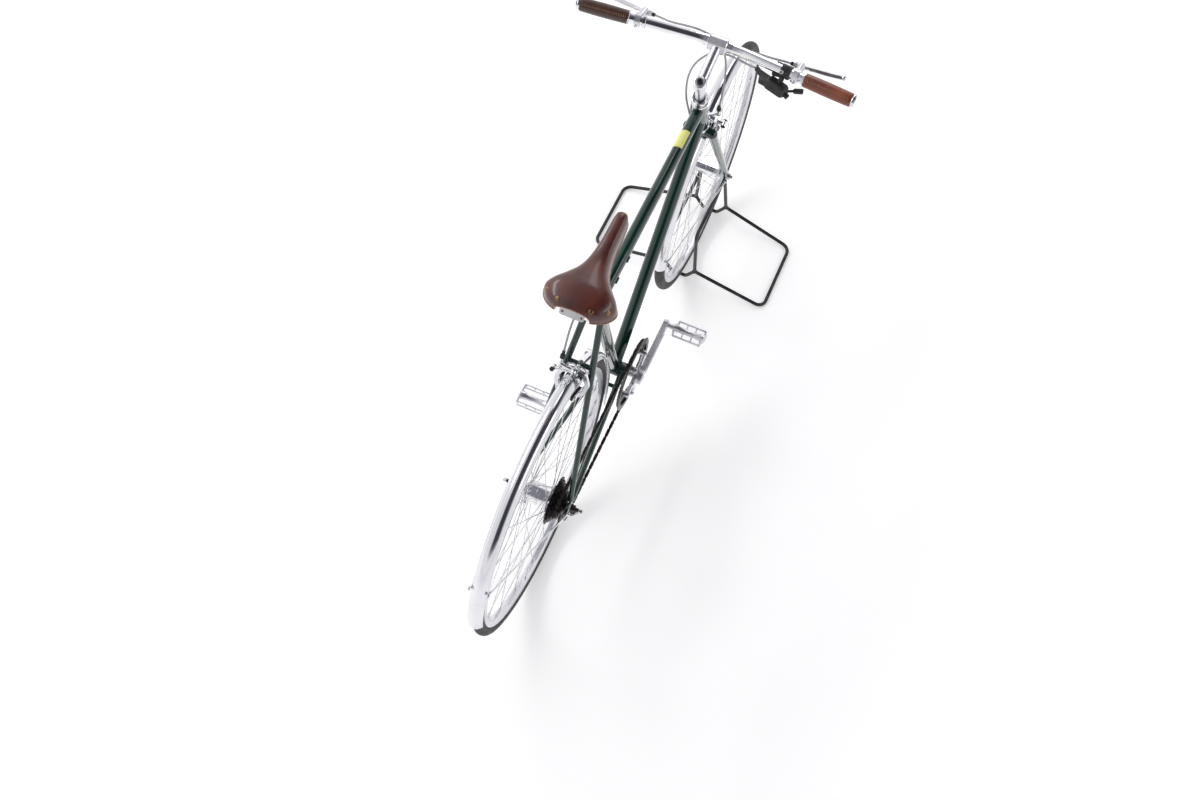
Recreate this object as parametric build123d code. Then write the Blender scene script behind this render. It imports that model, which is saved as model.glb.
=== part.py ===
from build123d import *
import math
import os

# City bicycle on a wire wheel stand.  +X is forward, +Y is to the rider's left, +Z is up.
# Everything is worked out with X = 0 over the rear axle and the floor at Z = 0, and is
# moved at the end so that the origin lies under the middle of the whole length.

# ---------------------------------------------------------------- driving dimensions, mm
# wheels
wheelbase = 1050.0
tyre_radius = 346.0
tyre_width = 27.0
rim_width = 20.0
rim_flange_radius = 322.0
rim_inner_radius = 304.0
rim_wall = 2.0
bead_depth = 7.0
spoke_count = 36
spoke_crosses = 3
spoke_radius = 0.9
axle_radius = 4.5
front_axle_end = 70.0
rear_axle_end = 99.0
front_hub_width = 100.0
rear_hub_width = 130.0
front_flange_radius = 29.0
rear_flange_radius = 33.0
front_barrel_radius = 15.0
rear_barrel_radius = 26.0
front_flange_y = 35.0
rear_flange_left_y = 34.0
rear_flange_right_y = -19.0
flange_thickness = 2.6

# frame
bb_drop = 72.0
chainstay_length = 428.0
head_angle = 72.0
seat_angle = 73.4
fork_rake = 50.0
crown_height = 385.0
crown_depth = 23.0
head_tube_length = 116.0
head_tube_radius = 18.0
top_tube_below_head = 32.0
top_tube_radius = 14.3
down_tube_above_cup = 28.0
down_tube_radius = 15.9
seat_tube_length = 566.0
seat_tube_radius = 14.3
bb_shell_radius = 20.5
bb_shell_width = 68.0
stay_radius = 8.0
chainstay_spread_bb = 25.0
seatstay_spread_top = 14.0
seatstay_below_top = 26.0
bridge_distance = 366.0
bridge_radius = 6.0
bridge_boss_radius = 6.5
chainstay_bridge_radius = 5.0
dropout_thickness = 5.0
dropout_radius = 19.0
eyelet_radius = 6.5
eyelet_hole = 2.65
eyelet_bolt = 2.5
rear_eyelet_distance = 24.0
front_eyelet_distance = 20.0
rack_eyelet_elevation = 110.0
rear_stay_elevation = 154.0
front_stay_elevation = 176.0
guide_from_seat = (129.0, 70.0)

# fork and headset
blade_top_radius = 12.0
blade_end_radius = 8.0
blade_top_y = 31.0
shoulder_drop = 25.0
crown_underside = 8.0
steerer_radius = 12.7
cup_height = 12.0
lower_cup_radius = 21.0
upper_cup_radius = 19.0
upper_stack = 25.0
locknut_height = 10.0

# stem, bar and controls
quill_radius = 11.1
quill_rise = 76.0
stem_reach = 108.0
stem_clamp_rise = 15.0
stem_clamp_width = 42.0
stem_clamp_radius = 18.0
quill_dome_radius = 16.0
bar_half_width = 330.0
bar_radius = 11.1
bar_bulge_radius = 12.7
bar_bulge_half = 34.0
bar_bend_y = 45.0
bar_sweep = 31.0
bar_lift = 5.0
grip_length = 112.0
grip_radius = 16.0
end_cap_length = 8.0
lever_clamp_y = 188.0
shifter_clamp_y = 160.0
control_clamp_width = 13.0
lever_ahead = 44.0

# saddle
seatpost_radius = 13.0
saddle_height = 979.0
saddle_length = 251.0
saddle_width = 155.0
saddle_rear_x = 130.0
saddle_stations = ((0, 38, 18, 22), (8, 56, 10, 32), (22, 70, 4, 42), (40, 77.5, 1, 46), (58, 70, 1, 46),
                   (78, 53.5, 4, 44), (102, 36, 8, 42), (130, 26, 11, 40), (165, 20, 10, 38),
                   (205, 18, 8, 34), (238, 16, 6, 30), (250, 10, 12, 22))
leather_thickness = 5.0
rail_radius = 3.5
rail_spread = 20.0

# mudguards
guard_radius = 358.0
guard_width = 35.0
guard_depth = 12.0
guard_thickness = 1.4
rear_guard_angles = (-18.0, 175.5)
front_guard_angles = (75.0, 181.5)
guard_stay_radius = 2.0

# drivetrain
chain_pitch = 12.7
chainring_teeth = 44
cog_teeth = (28, 25, 22, 19, 17, 15, 13)
cog_spacing = 4.6
chain_cog = 4
chain_line = 47.5
chain_half_width = 3.6
chain_half_height = 4.0
pulley_teeth = 11
crank_length = 170.0
crank_arm_y = 72.0
crank_arm_thickness = 13.0
spindle_radius = 8.5
pedal_length = 82.0
pedal_depth = 54.0
pedal_height = 24.0
pedal_gap = 18.0
right_pedal_tilt = 31.0
guard_ring_margin = 10.0

# cables, and the stops that hold their ends, measured as everything else is
cable_radius = 2.4
stop_radius = 4.0
stop_length = 14.0

# wheel stand
stand_rod = 5.0
stand_half_width = 262.0
stand_rear_x = 924.0
stand_front_x = 1152.0
stand_front_junction_x = 1174.0
stand_junction_y = 47.0
stand_junction_z = 52.0
stand_top_y = 35.5
stand_top_z = 232.0
stand_top_x = (912.0, 1130.0)
stand_dip_y = 22.0
stand_corner_radius = 25.0

# clearances
running_fit = 0.08
seat_gap = 0.1
part_gap = 0.3
chain_gap = 0.5
pad_gap = 2.0
caliper_arm_gap = 14.0
barrel_side = 33.5
anchor_side = 47.0
anchor_top = -12.0
front_barrel_top = 64.0
rear_barrel_top = 26.0

# ---------------------------------------------------------------- derived places
bb_x = math.sqrt(chainstay_length ** 2 - bb_drop ** 2)
bb_z = tyre_radius - bb_drop
rear_axle = Vector(0, 0, tyre_radius)
front_axle = Vector(wheelbase, 0, tyre_radius)
bottom_bracket = Vector(bb_x, 0, bb_z)
origin_x = (wheelbase + tyre_radius - guard_radius) / 2

head = math.radians(head_angle)
seat = math.radians(seat_angle)
head_up = Vector(-math.cos(head), 0, math.sin(head))
head_forward = Vector(math.sin(head), 0, math.cos(head))
seat_up = Vector(-math.cos(seat), 0, math.sin(seat))
head_foot = front_axle - head_forward * fork_rake
steering = Plane(origin=head_foot, x_dir=head_forward, z_dir=head_up)

crown_bottom = crown_height - crown_depth
cup_bottom = crown_height + part_gap
tube_bottom = cup_bottom + cup_height
tube_top = tube_bottom + head_tube_length
stack_top = tube_top + upper_stack
quill_top = stack_top + quill_rise
seat_top = bottom_bracket + seat_up * seat_tube_length


def on_steering(x, y, along):
    """A point given as forward, left and up along the steering axis."""
    return head_foot + head_forward * x + Vector(0, y, 0) + head_up * along


bar_centre = on_steering(0, 0, quill_top) + Vector(stem_reach, 0, stem_clamp_rise)
front_brake_along = crown_height - 13.5
front_brake_ahead = blade_top_radius + 20
rear_brake_behind = 32
nodes = {}


# ---------------------------------------------------------------- helpers
def rod(start, end, radius, end_radius=None):
    """A round bar between two points, tapered when a second radius is given."""
    start = Vector(*start)
    end = Vector(*end)
    plane = Plane(origin=start, z_dir=end - start)
    if end_radius is None:
        return Solid.make_cylinder(radius, (end - start).length, plane)
    return Solid.make_cone(radius, end_radius, (end - start).length, plane)


def cross_rod(centre, radius, y_low, y_high):
    """A round bar along Y through a point."""
    return rod((centre.X, y_low, centre.Z), (centre.X, y_high, centre.Z), radius)


def eyelet_place(axle, elevation, distance):
    angle = math.radians(elevation)
    return axle + Vector(math.cos(angle) * distance, 0, math.sin(angle) * distance)


def tube(start, end, radius, bore):
    return rod(start, end, radius) - rod(start, end, bore)


def turned(outline, arc=360.0):
    """A solid turned about the Y axis from an outline of (radius, y) points."""
    return revolve(make_face(Polyline(*outline, close=True)), Axis.Y, arc)


def swept(path, radius):
    profile = Plane(origin=path @ 0, z_dir=path % 0) * Circle(radius)
    return sweep(profile, path=path)


def bent_rod(points, bend_radius, radius):
    """A round rod through points, with one bend radius at each corner."""
    return swept(FilletPolyline(*points, radius=bend_radius), radius)


def cord_bends(points):
    """Bend radii that let each arc be as large as its two runs allow."""
    corners = [Vector(*point) for point in points]
    radii = []
    for before, corner, after in zip(corners, corners[1:], corners[2:]):
        arriving = corner - before
        leaving = after - corner
        half_turn = math.radians(arriving.get_angle(leaving)) / 2
        radii.append(0.45 * min(arriving.length, leaving.length) / math.tan(half_turn))
    return radii


def cord(points, radius):
    bends = cord_bends(points)
    print("cord bends, mm:", [round(bend) for bend in bends])
    path = FilletPolyline(*points, radius=bends)
    return swept(path, radius)


def mirrored(shape):
    return shape.mirror(Plane.XZ)


def group(shapes):
    return Compound(children=list(shapes))


def at_axle(shape, axle):
    return shape.moved(Location(axle))


def add(name, shape):
    nodes[name] = shape


# ---------------------------------------------------------------- wheels
def make_tyre():
    """A round section that sits on the rim's flanges, with its beads between them."""
    section = tyre_width / 2
    centre = tyre_radius - section
    bead_half = rim_width / 2 - rim_wall - part_gap
    bead_radius = rim_flange_radius - bead_depth + part_gap
    ledge = rim_flange_radius + part_gap
    ledge_half = math.sqrt(section ** 2 - (centre - ledge) ** 2)
    crown = ThreePointArc((ledge, ledge_half), (tyre_radius, 0), (ledge, -ledge_half))
    beads = Polyline((ledge, -ledge_half), (ledge, -bead_half), (bead_radius, -bead_half),
                     (bead_radius, bead_half), (ledge, bead_half), (ledge, ledge_half))
    return revolve(make_face(crown + beads), Axis.Y, 360)


def make_rim():
    half = rim_width / 2
    inner_half = half - rim_wall
    bed = rim_flange_radius - bead_depth
    return turned([(rim_inner_radius, -half + 4), (rim_inner_radius, half - 4),
                   (rim_inner_radius + 4, half), (rim_flange_radius, half),
                   (rim_flange_radius, inner_half), (bed, inner_half), (bed, -inner_half),
                   (rim_flange_radius, -inner_half), (rim_flange_radius, -half),
                   (rim_inner_radius + 4, -half)])


def make_spokes(flange_radius, left_y, right_y):
    """Each side's spokes leave one flange and cross before they reach the rim."""
    spokes = []
    per_side = spoke_count // 2
    step = 360 / per_side
    hole_radius = flange_radius - 3.5
    side_shift = flange_thickness / 2 + 3 * part_gap + spoke_radius
    rim_end = rim_inner_radius - part_gap
    for flange_y, phase in ((left_y, 0), (right_y, step / 2)):
        side = math.copysign(1, flange_y)
        for index in range(per_side):
            way = 1 if index % 2 == 0 else -1
            hub_angle = math.radians(index * step + phase)
            rim_angle = math.radians((index + way * spoke_crosses) * step + phase)
            start = (hole_radius * math.cos(hub_angle), flange_y + way * side_shift,
                     hole_radius * math.sin(hub_angle))
            end = (rim_end * math.cos(rim_angle), side * 2.5, rim_end * math.sin(rim_angle))
            spokes.append(rod(start, end, spoke_radius))
    return group(spokes)


def make_hub(width, flange_radius, barrel_radius, left_y, right_y, right_end):
    """A hub shell with two flanges, bored for its axle."""
    half = flange_thickness / 2
    bore = axle_radius + running_fit
    left_end = width / 2 - 4
    nose = min(barrel_radius * 0.72, 16)
    return turned([(bore, right_end), (nose, right_end), (nose, right_y - half),
                   (flange_radius, right_y - half), (flange_radius, right_y + half),
                   (barrel_radius, right_y + half), (barrel_radius, left_y - half),
                   (flange_radius, left_y - half), (flange_radius, left_y + half),
                   (nose, left_y + half), (nose, left_end), (bore, left_end)])


def make_axle(hub_width, nut_width, axle_end):
    """A nutted axle: rod, lock nuts inside the dropouts, washers and track nuts outside."""
    lock = 4 - part_gap
    face = hub_width / 2 + dropout_thickness
    body = cross_rod(Vector(0, 0, 0), axle_radius, -axle_end, axle_end)
    for side in (1, -1):
        y = side * hub_width / 2
        body += cross_rod(Vector(0, 0, 0), 8.5, min(y, y - side * lock), max(y, y - side * lock))
        washer = Solid.make_cylinder(10, 1.6, Plane((0, side * face, 0), z_dir=(0, side, 0)))
        nut_plane = Plane((0, side * (face + 1.6), 0), z_dir=(0, side, 0))
        nut = extrude(nut_plane * RegularPolygon(8.6, 6), nut_width)
        body += washer + nut
    return body


# ---------------------------------------------------------------- frame tubes
head_tube_ends = (on_steering(0, 0, tube_bottom), on_steering(0, 0, tube_top))
top_tube_front = on_steering(0, 0, tube_top - top_tube_below_head)
seat_at_top_tube = bottom_bracket + seat_up * ((top_tube_front.Z - bb_z) / math.sin(seat))
down_tube_front = on_steering(0, 0, tube_bottom + down_tube_above_cup)
seatstay_top = seat_top - seat_up * seatstay_below_top
stay_direction = (seatstay_top - rear_axle).normalized()
stay_back = Vector(-stay_direction.Z, 0, stay_direction.X)
bridge_centre = rear_axle + stay_direction * bridge_distance
dropout_y = (rear_hub_width + dropout_thickness) / 2
front_brake_place = Location(Plane(origin=on_steering(0, 0, front_brake_along), x_dir=head_forward,
                                   z_dir=head_up))
rear_brake_place = Location(Plane(origin=bridge_centre, x_dir=stay_back, z_dir=stay_direction))
chainstay_bridge_share = (guard_radius + 12) / chainstay_length
chainstay_bridge_centre = rear_axle + (bottom_bracket - rear_axle) * chainstay_bridge_share


stop_out = (top_tube_radius + 3.2) * math.sin(math.radians(45))
front_stop = top_tube_front + Vector(-39, stop_out, -stop_out)
rear_stop = seat_at_top_tube + Vector(34, stop_out, -stop_out)
down_tube_back = (bottom_bracket - down_tube_front).normalized()
gear_stop = down_tube_front + down_tube_back * 40 + Vector(0, down_tube_radius + 3.2, 0)


def make_frame():
    head_solid = rod(*head_tube_ends, head_tube_radius + seat_gap)
    seat_solid = rod(bottom_bracket, seat_top, seat_tube_radius + seat_gap)
    shell_solid = cross_rod(bottom_bracket, bb_shell_radius + seat_gap, -60, 60)
    down_solid = rod(bottom_bracket, down_tube_front, down_tube_radius + seat_gap)

    add("head_tube", tube(*head_tube_ends, head_tube_radius, steerer_radius + 2))
    top_solid = rod(seat_at_top_tube, top_tube_front, top_tube_radius + seat_gap)
    top = rod(seat_at_top_tube, top_tube_front, top_tube_radius)
    for ahead in guide_from_seat:
        stop = seat_at_top_tube + Vector(ahead, -top_tube_radius, 0)
        top += rod(stop - Vector(7, 0, 0), stop + Vector(7, 0, 0), 3.2)
    top += rod(front_stop - Vector(part_gap, 0, 0), front_stop - Vector(stop_length, 0, 0), stop_radius)
    top += rod(rear_stop + Vector(part_gap, 0, 0), rear_stop + Vector(stop_length, 0, 0), stop_radius)
    add("top_tube", top - seat_solid - head_solid)
    down = rod(bottom_bracket, down_tube_front, down_tube_radius)
    down += rod(gear_stop + down_tube_back * part_gap, gear_stop + down_tube_back * stop_length,
                stop_radius)
    cup_solid = rod(on_steering(0, 0, cup_bottom), on_steering(0, 0, tube_bottom),
                   lower_cup_radius + seat_gap)
    add("down_tube", down - shell_solid - head_solid - cup_solid)
    seat_tube = rod(bottom_bracket, seat_top, seat_tube_radius)
    add("seat_tube", seat_tube - shell_solid - down_solid)

    half = bb_shell_width / 2
    shell = cross_rod(bottom_bracket, bb_shell_radius, -half, half)
    shell -= cross_rod(bottom_bracket, spindle_radius + running_fit, -half, half)
    add("bottom_bracket_shell", shell)

    axle_bore = axle_radius + seat_gap
    shell_and_seat = [shell_solid, seat_solid, down_solid]
    chainstays = []
    seatstays = []
    for side in (1, -1):
        eye = Vector(0, side * dropout_y, tyre_radius)
        relief = cross_rod(rear_axle, dropout_radius - 3, eye.Y - 20, eye.Y + 20)
        stay = rod((bb_x, side * chainstay_spread_bb, bb_z), eye, stay_radius, stay_radius - 2)
        for neighbour in shell_and_seat:
            stay -= neighbour
        plate = cross_rod(rear_axle, dropout_radius, eye.Y - dropout_thickness / 2,
                          eye.Y + dropout_thickness / 2)
        stay = stay - relief + plate
        for elevation in (rack_eyelet_elevation, rear_stay_elevation):
            centre = eyelet_place(rear_axle, elevation, rear_eyelet_distance)
            stay += cross_rod(centre, eyelet_radius, eye.Y - dropout_thickness / 2,
                              eye.Y + dropout_thickness / 2)
            stay -= cross_rod(centre, eyelet_hole, eye.Y - 5, eye.Y + 5)
        stay -= cross_rod(rear_axle, axle_bore, eye.Y - 20, eye.Y + 20)
        chainstays.append(stay)
        top_end = seatstay_top + Vector(0, side * seatstay_spread_top, 0)
        upper = rod(top_end, eye, stay_radius, stay_radius - 2)
        upper = upper - seat_solid - top_solid
        upper -= cross_rod(rear_axle, dropout_radius + seat_gap, eye.Y - 20, eye.Y + 20)
        seatstays.append(upper)
    add("chainstays", chainstays[0] + chainstays[1] + chainstay_bridge())
    add("seatstays", seatstays[0] + seatstays[1] + seatstay_bridge())


def chainstay_bridge():
    half = dropout_y + (chainstay_spread_bb - dropout_y) * chainstay_bridge_share
    return cross_rod(chainstay_bridge_centre, chainstay_bridge_radius, -half, half)


def seatstay_bridge():
    share = bridge_distance / (seatstay_top - rear_axle).length
    half = dropout_y + (seatstay_spread_top - dropout_y) * share
    bridge = cross_rod(bridge_centre, bridge_radius, -half, half)
    boss = rod(bridge_centre - stay_back * 8, bridge_centre + stay_back * 8, bridge_boss_radius)
    return bridge + boss


def make_headset():
    lower = tube(on_steering(0, 0, cup_bottom), on_steering(0, 0, tube_bottom), lower_cup_radius,
                 steerer_radius + running_fit)
    upper_end = tube_top + upper_stack - locknut_height - part_gap
    upper = tube(on_steering(0, 0, tube_top), on_steering(0, 0, upper_end), upper_cup_radius,
                 steerer_radius + running_fit)
    add("headset", group([lower, upper]))
    nut = tube(on_steering(0, 0, stack_top - locknut_height), on_steering(0, 0, stack_top), 18,
               steerer_radius + seat_gap)
    add("headset_locknut", nut)


# ---------------------------------------------------------------- fork, stem and bar
def make_fork():
    """A sloping crown, two straight blades raked forward, and the steerer."""
    drop_y = (front_hub_width + dropout_thickness) / 2
    boss = rod(on_steering(0, 0, crown_bottom), on_steering(0, 0, crown_height), 19)
    steerer = rod(on_steering(0, 0, crown_height), on_steering(0, 0, stack_top), steerer_radius)
    fork = boss + steerer
    for side in (1, -1):
        shoulder = on_steering(0, side * blade_top_y, crown_height - shoulder_drop)
        tip = on_steering(fork_rake, side * drop_y, 0)
        blade = rod(shoulder, tip, blade_top_radius, blade_end_radius)
        y_low = side * drop_y - dropout_thickness / 2
        y_high = side * drop_y + dropout_thickness / 2
        blade -= cross_rod(front_axle, 13, y_low - 20, y_high + 20)
        blade += cross_rod(front_axle, 15, y_low, y_high)
        centre = eyelet_place(front_axle, front_stay_elevation, front_eyelet_distance)
        blade += cross_rod(centre, eyelet_radius, y_low, y_high)
        blade -= cross_rod(centre, eyelet_hole, y_low - 1, y_high + 1)
        blade -= cross_rod(front_axle, axle_radius + seat_gap, y_low - 20, y_high + 20)
        arm = rod(on_steering(0, 0, crown_height - 14), shoulder, 13, blade_top_radius + 0.5)
        ball = Solid.make_sphere(blade_top_radius + 1).moved(Location(shoulder))
        fork = fork + arm + ball + blade
    add("fork", fork)


def make_stem():
    """Quill with a domed cap and its bolt, an arm forward, and a clamp barrel round the bar."""
    top = on_steering(0, 0, quill_top)
    joint = on_steering(0, 0, quill_top - 16)
    direction = (bar_centre - joint).normalized()
    quill = rod(on_steering(0, 0, stack_top), top, quill_radius)
    quill += rod(on_steering(0, 0, quill_top - 32), on_steering(0, 0, quill_top - 22),
                 quill_radius, quill_dome_radius)
    cap = rod(on_steering(0, 0, quill_top - 22), top, quill_dome_radius)
    cap = fillet(cap.edges().group_by(Axis(top, head_up))[-1], 6)
    arm = rod(joint, bar_centre - direction * 6, 13, 12)
    half = stem_clamp_width / 2
    barrel = cross_rod(bar_centre, stem_clamp_radius, -half, half)
    binder = bar_centre + direction * 4 - Vector(0, 0, stem_clamp_radius + 3)
    lug = cross_rod(binder, 7, -half + 6, half - 6)
    bolt = rod(top - head_up * 1, top + head_up * 2, 6)
    stem = quill + cap + arm + barrel + lug + bolt
    stem -= cross_rod(bar_centre, bar_bulge_radius + seat_gap, -half, half)
    add("stem", stem)


def on_bar(side, y):
    """A point of the bar's straight outer stretch at a distance from the middle."""
    share = (y - bar_bend_y) / (bar_half_width - bar_bend_y)
    return bar_centre + Vector(-bar_sweep * share, side * y, bar_lift * share)


def make_handlebar():
    tip = bar_half_width - end_cap_length
    points = [on_bar(1, tip), on_bar(1, bar_bend_y), on_bar(-1, bar_bend_y), on_bar(-1, tip)]
    bar = bent_rod(points, [300, 300], bar_radius)
    half = bar_bulge_half
    bar += cross_rod(bar_centre, bar_bulge_radius, -half, half)
    add("handlebar", bar)
    grip_inner = bar_half_width - end_cap_length - grip_length
    for side, name in ((1, "left"), (-1, "right")):
        start = on_bar(side, grip_inner)
        end = on_bar(side, bar_half_width - end_cap_length)
        add("grip_" + name, tube(start, end, grip_radius, bar_radius + seat_gap))
    caps = []
    for side in (1, -1):
        end = on_bar(side, bar_half_width - end_cap_length)
        tip = on_bar(side, bar_half_width)
        flat_end = Vector(tip.X, side * bar_half_width, tip.Z)
        caps.append(rod(end, flat_end, grip_radius - 2) & slab_to(side))
    add("bar_end_caps", group(caps))


def slab_to(side):
    """Everything on one side out to the bar's overall half width."""
    box = Solid.make_box(400, bar_half_width, 400)
    corner = bar_centre + Vector(-200, 0 if side > 0 else -bar_half_width, -200)
    return box.moved(Location(corner))


def make_brake_levers():
    """A clamp and hood on the bar, and a blade ahead of it that runs out beside the grip; the
    left lever is the right one mirrored."""
    inner = on_bar(-1, lever_clamp_y - control_clamp_width / 2)
    outer = on_bar(-1, lever_clamp_y + control_clamp_width / 2)
    middle = (inner + outer) / 2
    hood = middle + Vector(lever_ahead, 0, -14)
    body = rod(inner, outer, bar_radius + 5)
    body += rod(middle, hood + Vector(3, 0, 0), 9)
    body += rod(hood - Vector(0, 8, 0), lever_ferrule(-1), 6)
    blade_points = [hood + Vector(-1, -3, 0.5), hood + Vector(4, -26, -1), hood + Vector(8, -60, -2),
                    hood + Vector(13, -96, -3)]
    body += bent_rod(blade_points, [40, 60], 4.5)
    body -= rod(on_bar(-1, lever_clamp_y - 40), on_bar(-1, lever_clamp_y + 40), bar_radius + seat_gap)
    add("brake_lever_left", mirrored(body))
    add("brake_lever_right", body)


def lever_ferrule(side):
    """Where the cable leaves the end of a brake lever's hood."""
    middle = on_bar(side, lever_clamp_y)
    return middle + Vector(lever_ahead, -side * 18, -14)


def make_shifter():
    """A band on the bar with a tapered body hung behind it and two thumb paddles."""
    inner = on_bar(-1, shifter_clamp_y - control_clamp_width / 2)
    outer = on_bar(-1, shifter_clamp_y + control_clamp_width / 2)
    middle = (inner + outer) / 2
    waist = middle + Vector(-17, 12, -35)
    shoulder = middle + Vector(-24, -12, -36)
    body = rod(inner, outer, bar_radius + 4)
    body += rod(shifter_nose(), waist + Vector(-2, -3, 0), 5, 14)
    body += rod(waist + Vector(1, 6, 0), shoulder, 13.5, 12)
    body += rod(middle + Vector(-6, 0, -11), waist + Vector(2, -10, 8), 6)
    body += rod(middle + Vector(bar_radius + 6, 22, 0), middle + Vector(bar_radius + 3, 0, 0), 3.5)
    body += rod(shoulder + Vector(1, 4, 1), shoulder + Vector(-8, -14, -4), 6)
    body += rod(shoulder + Vector(-1, 3, 0), shoulder + Vector(14, -24, 0), 3)
    body += rod(shoulder + Vector(12, -21, 0), shoulder + Vector(20, -40, 0), 6)
    return body - rod(on_bar(-1, shifter_clamp_y - 40), on_bar(-1, shifter_clamp_y + 40),
                      bar_radius + seat_gap)


def shifter_nose():
    """Where the gear cable leaves the shifter."""
    return on_bar(-1, shifter_clamp_y) + Vector(12, 64, -35)


# ---------------------------------------------------------------- brakes
def make_caliper(place, height, reach, barrel_top):
    """Two arms that reach round the mudguard from a bolt to the pads beside the rim, and a
    raised arm that carries the cable barrel."""
    arm_width = 9
    waist = guard_width / 2 + caliper_arm_gap
    foot_y = rim_width / 2 + pad_gap + 9
    bolt = rod((0, 0, 0), (height + 10, 0, 0), 5)
    parts = bolt + rod((height - 7, 0, 0), (height + 7, 0, 0), 8)
    for side in (1, -1):
        points = [(height, 0, 4), (height, side * waist * 0.8, -4), (height, side * (waist + 4), -24),
                  (height, side * waist, 8 - reach), (height, side * foot_y, -reach)]
        path = FilletPolyline(*points, radius=[12, 14, 18])
        profile = Plane(origin=path @ 0, x_dir=(1, 0, 0), z_dir=path % 0) * Rectangle(arm_width, 9)
        parts += sweep(profile, path=path)
    parts += rod((height + 2, 0, 0), (height + 2, -barrel_side, barrel_top - 22), 4.5)
    parts += rod((height + 2, -barrel_side, barrel_top - 30), (height + 2, -barrel_side, barrel_top), 4)
    parts += rod((height, 0, -3), (height + 2, -anchor_side, anchor_top), 5, 4)
    parts += rod((height - 4, -anchor_side, anchor_top), (height + 9, -anchor_side, anchor_top), 5.5)
    caliper = place * parts
    pads = []
    for side in (1, -1):
        face = side * (rim_width / 2 + pad_gap)
        pad = Solid.make_box(52, 8, 10).moved(Location((height - 26, min(face, face + side * 8),
                                                        -reach - 5)))
        pads.append(place * pad)
    return caliper - pads[0] - pads[1], group(pads)


def make_brakes():
    front, pads = make_caliper(front_brake_place, front_brake_ahead,
                               front_brake_along - pad_height(fork_rake - front_brake_ahead),
                               front_barrel_top)
    add("front_brake", front - nodes["fork"])
    add("front_brake_pads", pads)
    rear, pads = make_caliper(rear_brake_place, rear_brake_behind,
                              bridge_distance - pad_height(rear_brake_behind), rear_barrel_top)
    add("rear_brake", rear - nodes["seatstays"])
    add("rear_brake_pads", pads)


def pad_height(offset):
    """Height above the axle of a pad that is offset from it along the wheel."""
    return math.sqrt((rim_flange_radius - 8) ** 2 - offset ** 2)


def barrel_mouth(place, height, barrel_top):
    """The top of a caliper's cable barrel, where the cable enters."""
    spot = place * Location((height + 2, -barrel_side, barrel_top))
    return spot.position


# ---------------------------------------------------------------- mudguards
def make_mudguard(angles):
    """A rolled band round the wheel between two elevations above the forward horizontal."""
    half = guard_width / 2
    inner = guard_radius - guard_thickness
    rim_radius = guard_radius - guard_depth
    outer_arc = ThreePointArc((rim_radius, -half), (guard_radius, 0), (rim_radius, half))
    inner_half = half - guard_thickness
    inner_arc = ThreePointArc((rim_radius, inner_half), (inner, 0), (rim_radius, -inner_half))
    edges = outer_arc + Line((rim_radius, half), (rim_radius, inner_half)) + inner_arc
    edges += Line((rim_radius, -inner_half), (rim_radius, -half))
    band = revolve(make_face(edges), Axis.Y, angles[1] - angles[0])
    return Rot(0, -angles[1], 0) * band


def guard_post(axle, carrier, carrier_radius):
    """A short post from the band out to the bridge or crown that carries it."""
    direction = (carrier - axle).normalized()
    reach = (carrier - axle).length - carrier_radius - part_gap
    return rod(axle + direction * (guard_radius - 1), axle + direction * reach, 3)


def guard_stays(axle, dropout_face, elevation, distance):
    """A wire each side, bolted to the dropout's eyelet and run out to the guard's edge."""
    eye = eyelet_place(axle, elevation, distance)
    tip = eyelet_place(axle, elevation, guard_radius - guard_depth + 4)
    stays = []
    for side in (1, -1):
        near = dropout_face + part_gap
        middle = Vector(0, side * (near + 1 + guard_stay_radius), 0)
        loop = rod(eye + Vector(0, side * near, 0), eye + 2 * middle - Vector(0, side * near, 0), 5)
        shank = rod(eye + Vector(0, side * (dropout_face - dropout_thickness), 0),
                    eye + Vector(0, side * (near + 8), 0), eyelet_bolt)
        edge = Vector(0, side * (guard_width / 2 + guard_stay_radius + part_gap), 0)
        stays.append(loop + shank + rod(eye + middle, tip + edge, guard_stay_radius))
    return group(stays)


# ---------------------------------------------------------------- drivetrain
def pitch_radius(teeth):
    return chain_pitch / (2 * math.sin(math.pi / teeth))


chainring_pitch = pitch_radius(chainring_teeth)
cog_pitch = pitch_radius(cog_teeth[chain_cog])
pulley_pitch = pitch_radius(pulley_teeth)
guide_pulley = rear_axle + Vector(8, 0, -72)
tension_pulley = rear_axle + Vector(40, 0, -128)


def belt(wheels):
    """A closed loop round circles given as (x, z, radius, turn), with turn +1 for those inside
    the loop and -1 for those outside it, taken in order round the loop."""
    runs = []
    count = len(wheels)
    for index in range(count):
        x1, z1, r1, t1 = wheels[index]
        x2, z2, r2, t2 = wheels[(index + 1) % count]
        distance = math.hypot(x2 - x1, z2 - z1)
        along = math.atan2(z2 - z1, x2 - x1)
        lean = math.asin((t1 * r1 - t2 * r2) / distance)
        normal = along + math.pi / 2 - lean
        nx = math.cos(normal)
        nz = math.sin(normal)
        runs.append(((x1 + t1 * r1 * nx, z1 + t1 * r1 * nz), (x2 + t2 * r2 * nx, z2 + t2 * r2 * nz)))
    edges = []
    for index in range(count):
        start, end = runs[index]
        edges.append(Line(start, end))
        x, z, radius, turn = wheels[(index + 1) % count]
        leave = runs[(index + 1) % count][0]
        first = math.atan2(end[1] - z, end[0] - x)
        last = math.atan2(leave[1] - z, leave[0] - x)
        if turn > 0 and last > first:
            last -= 2 * math.pi
        if turn < 0 and last < first:
            last += 2 * math.pi
        middle = (first + last) / 2
        edges.append(ThreePointArc(end, (x + radius * math.cos(middle), z + radius * math.sin(middle)),
                                   leave))
    return make_face(Wire(edges))


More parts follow.
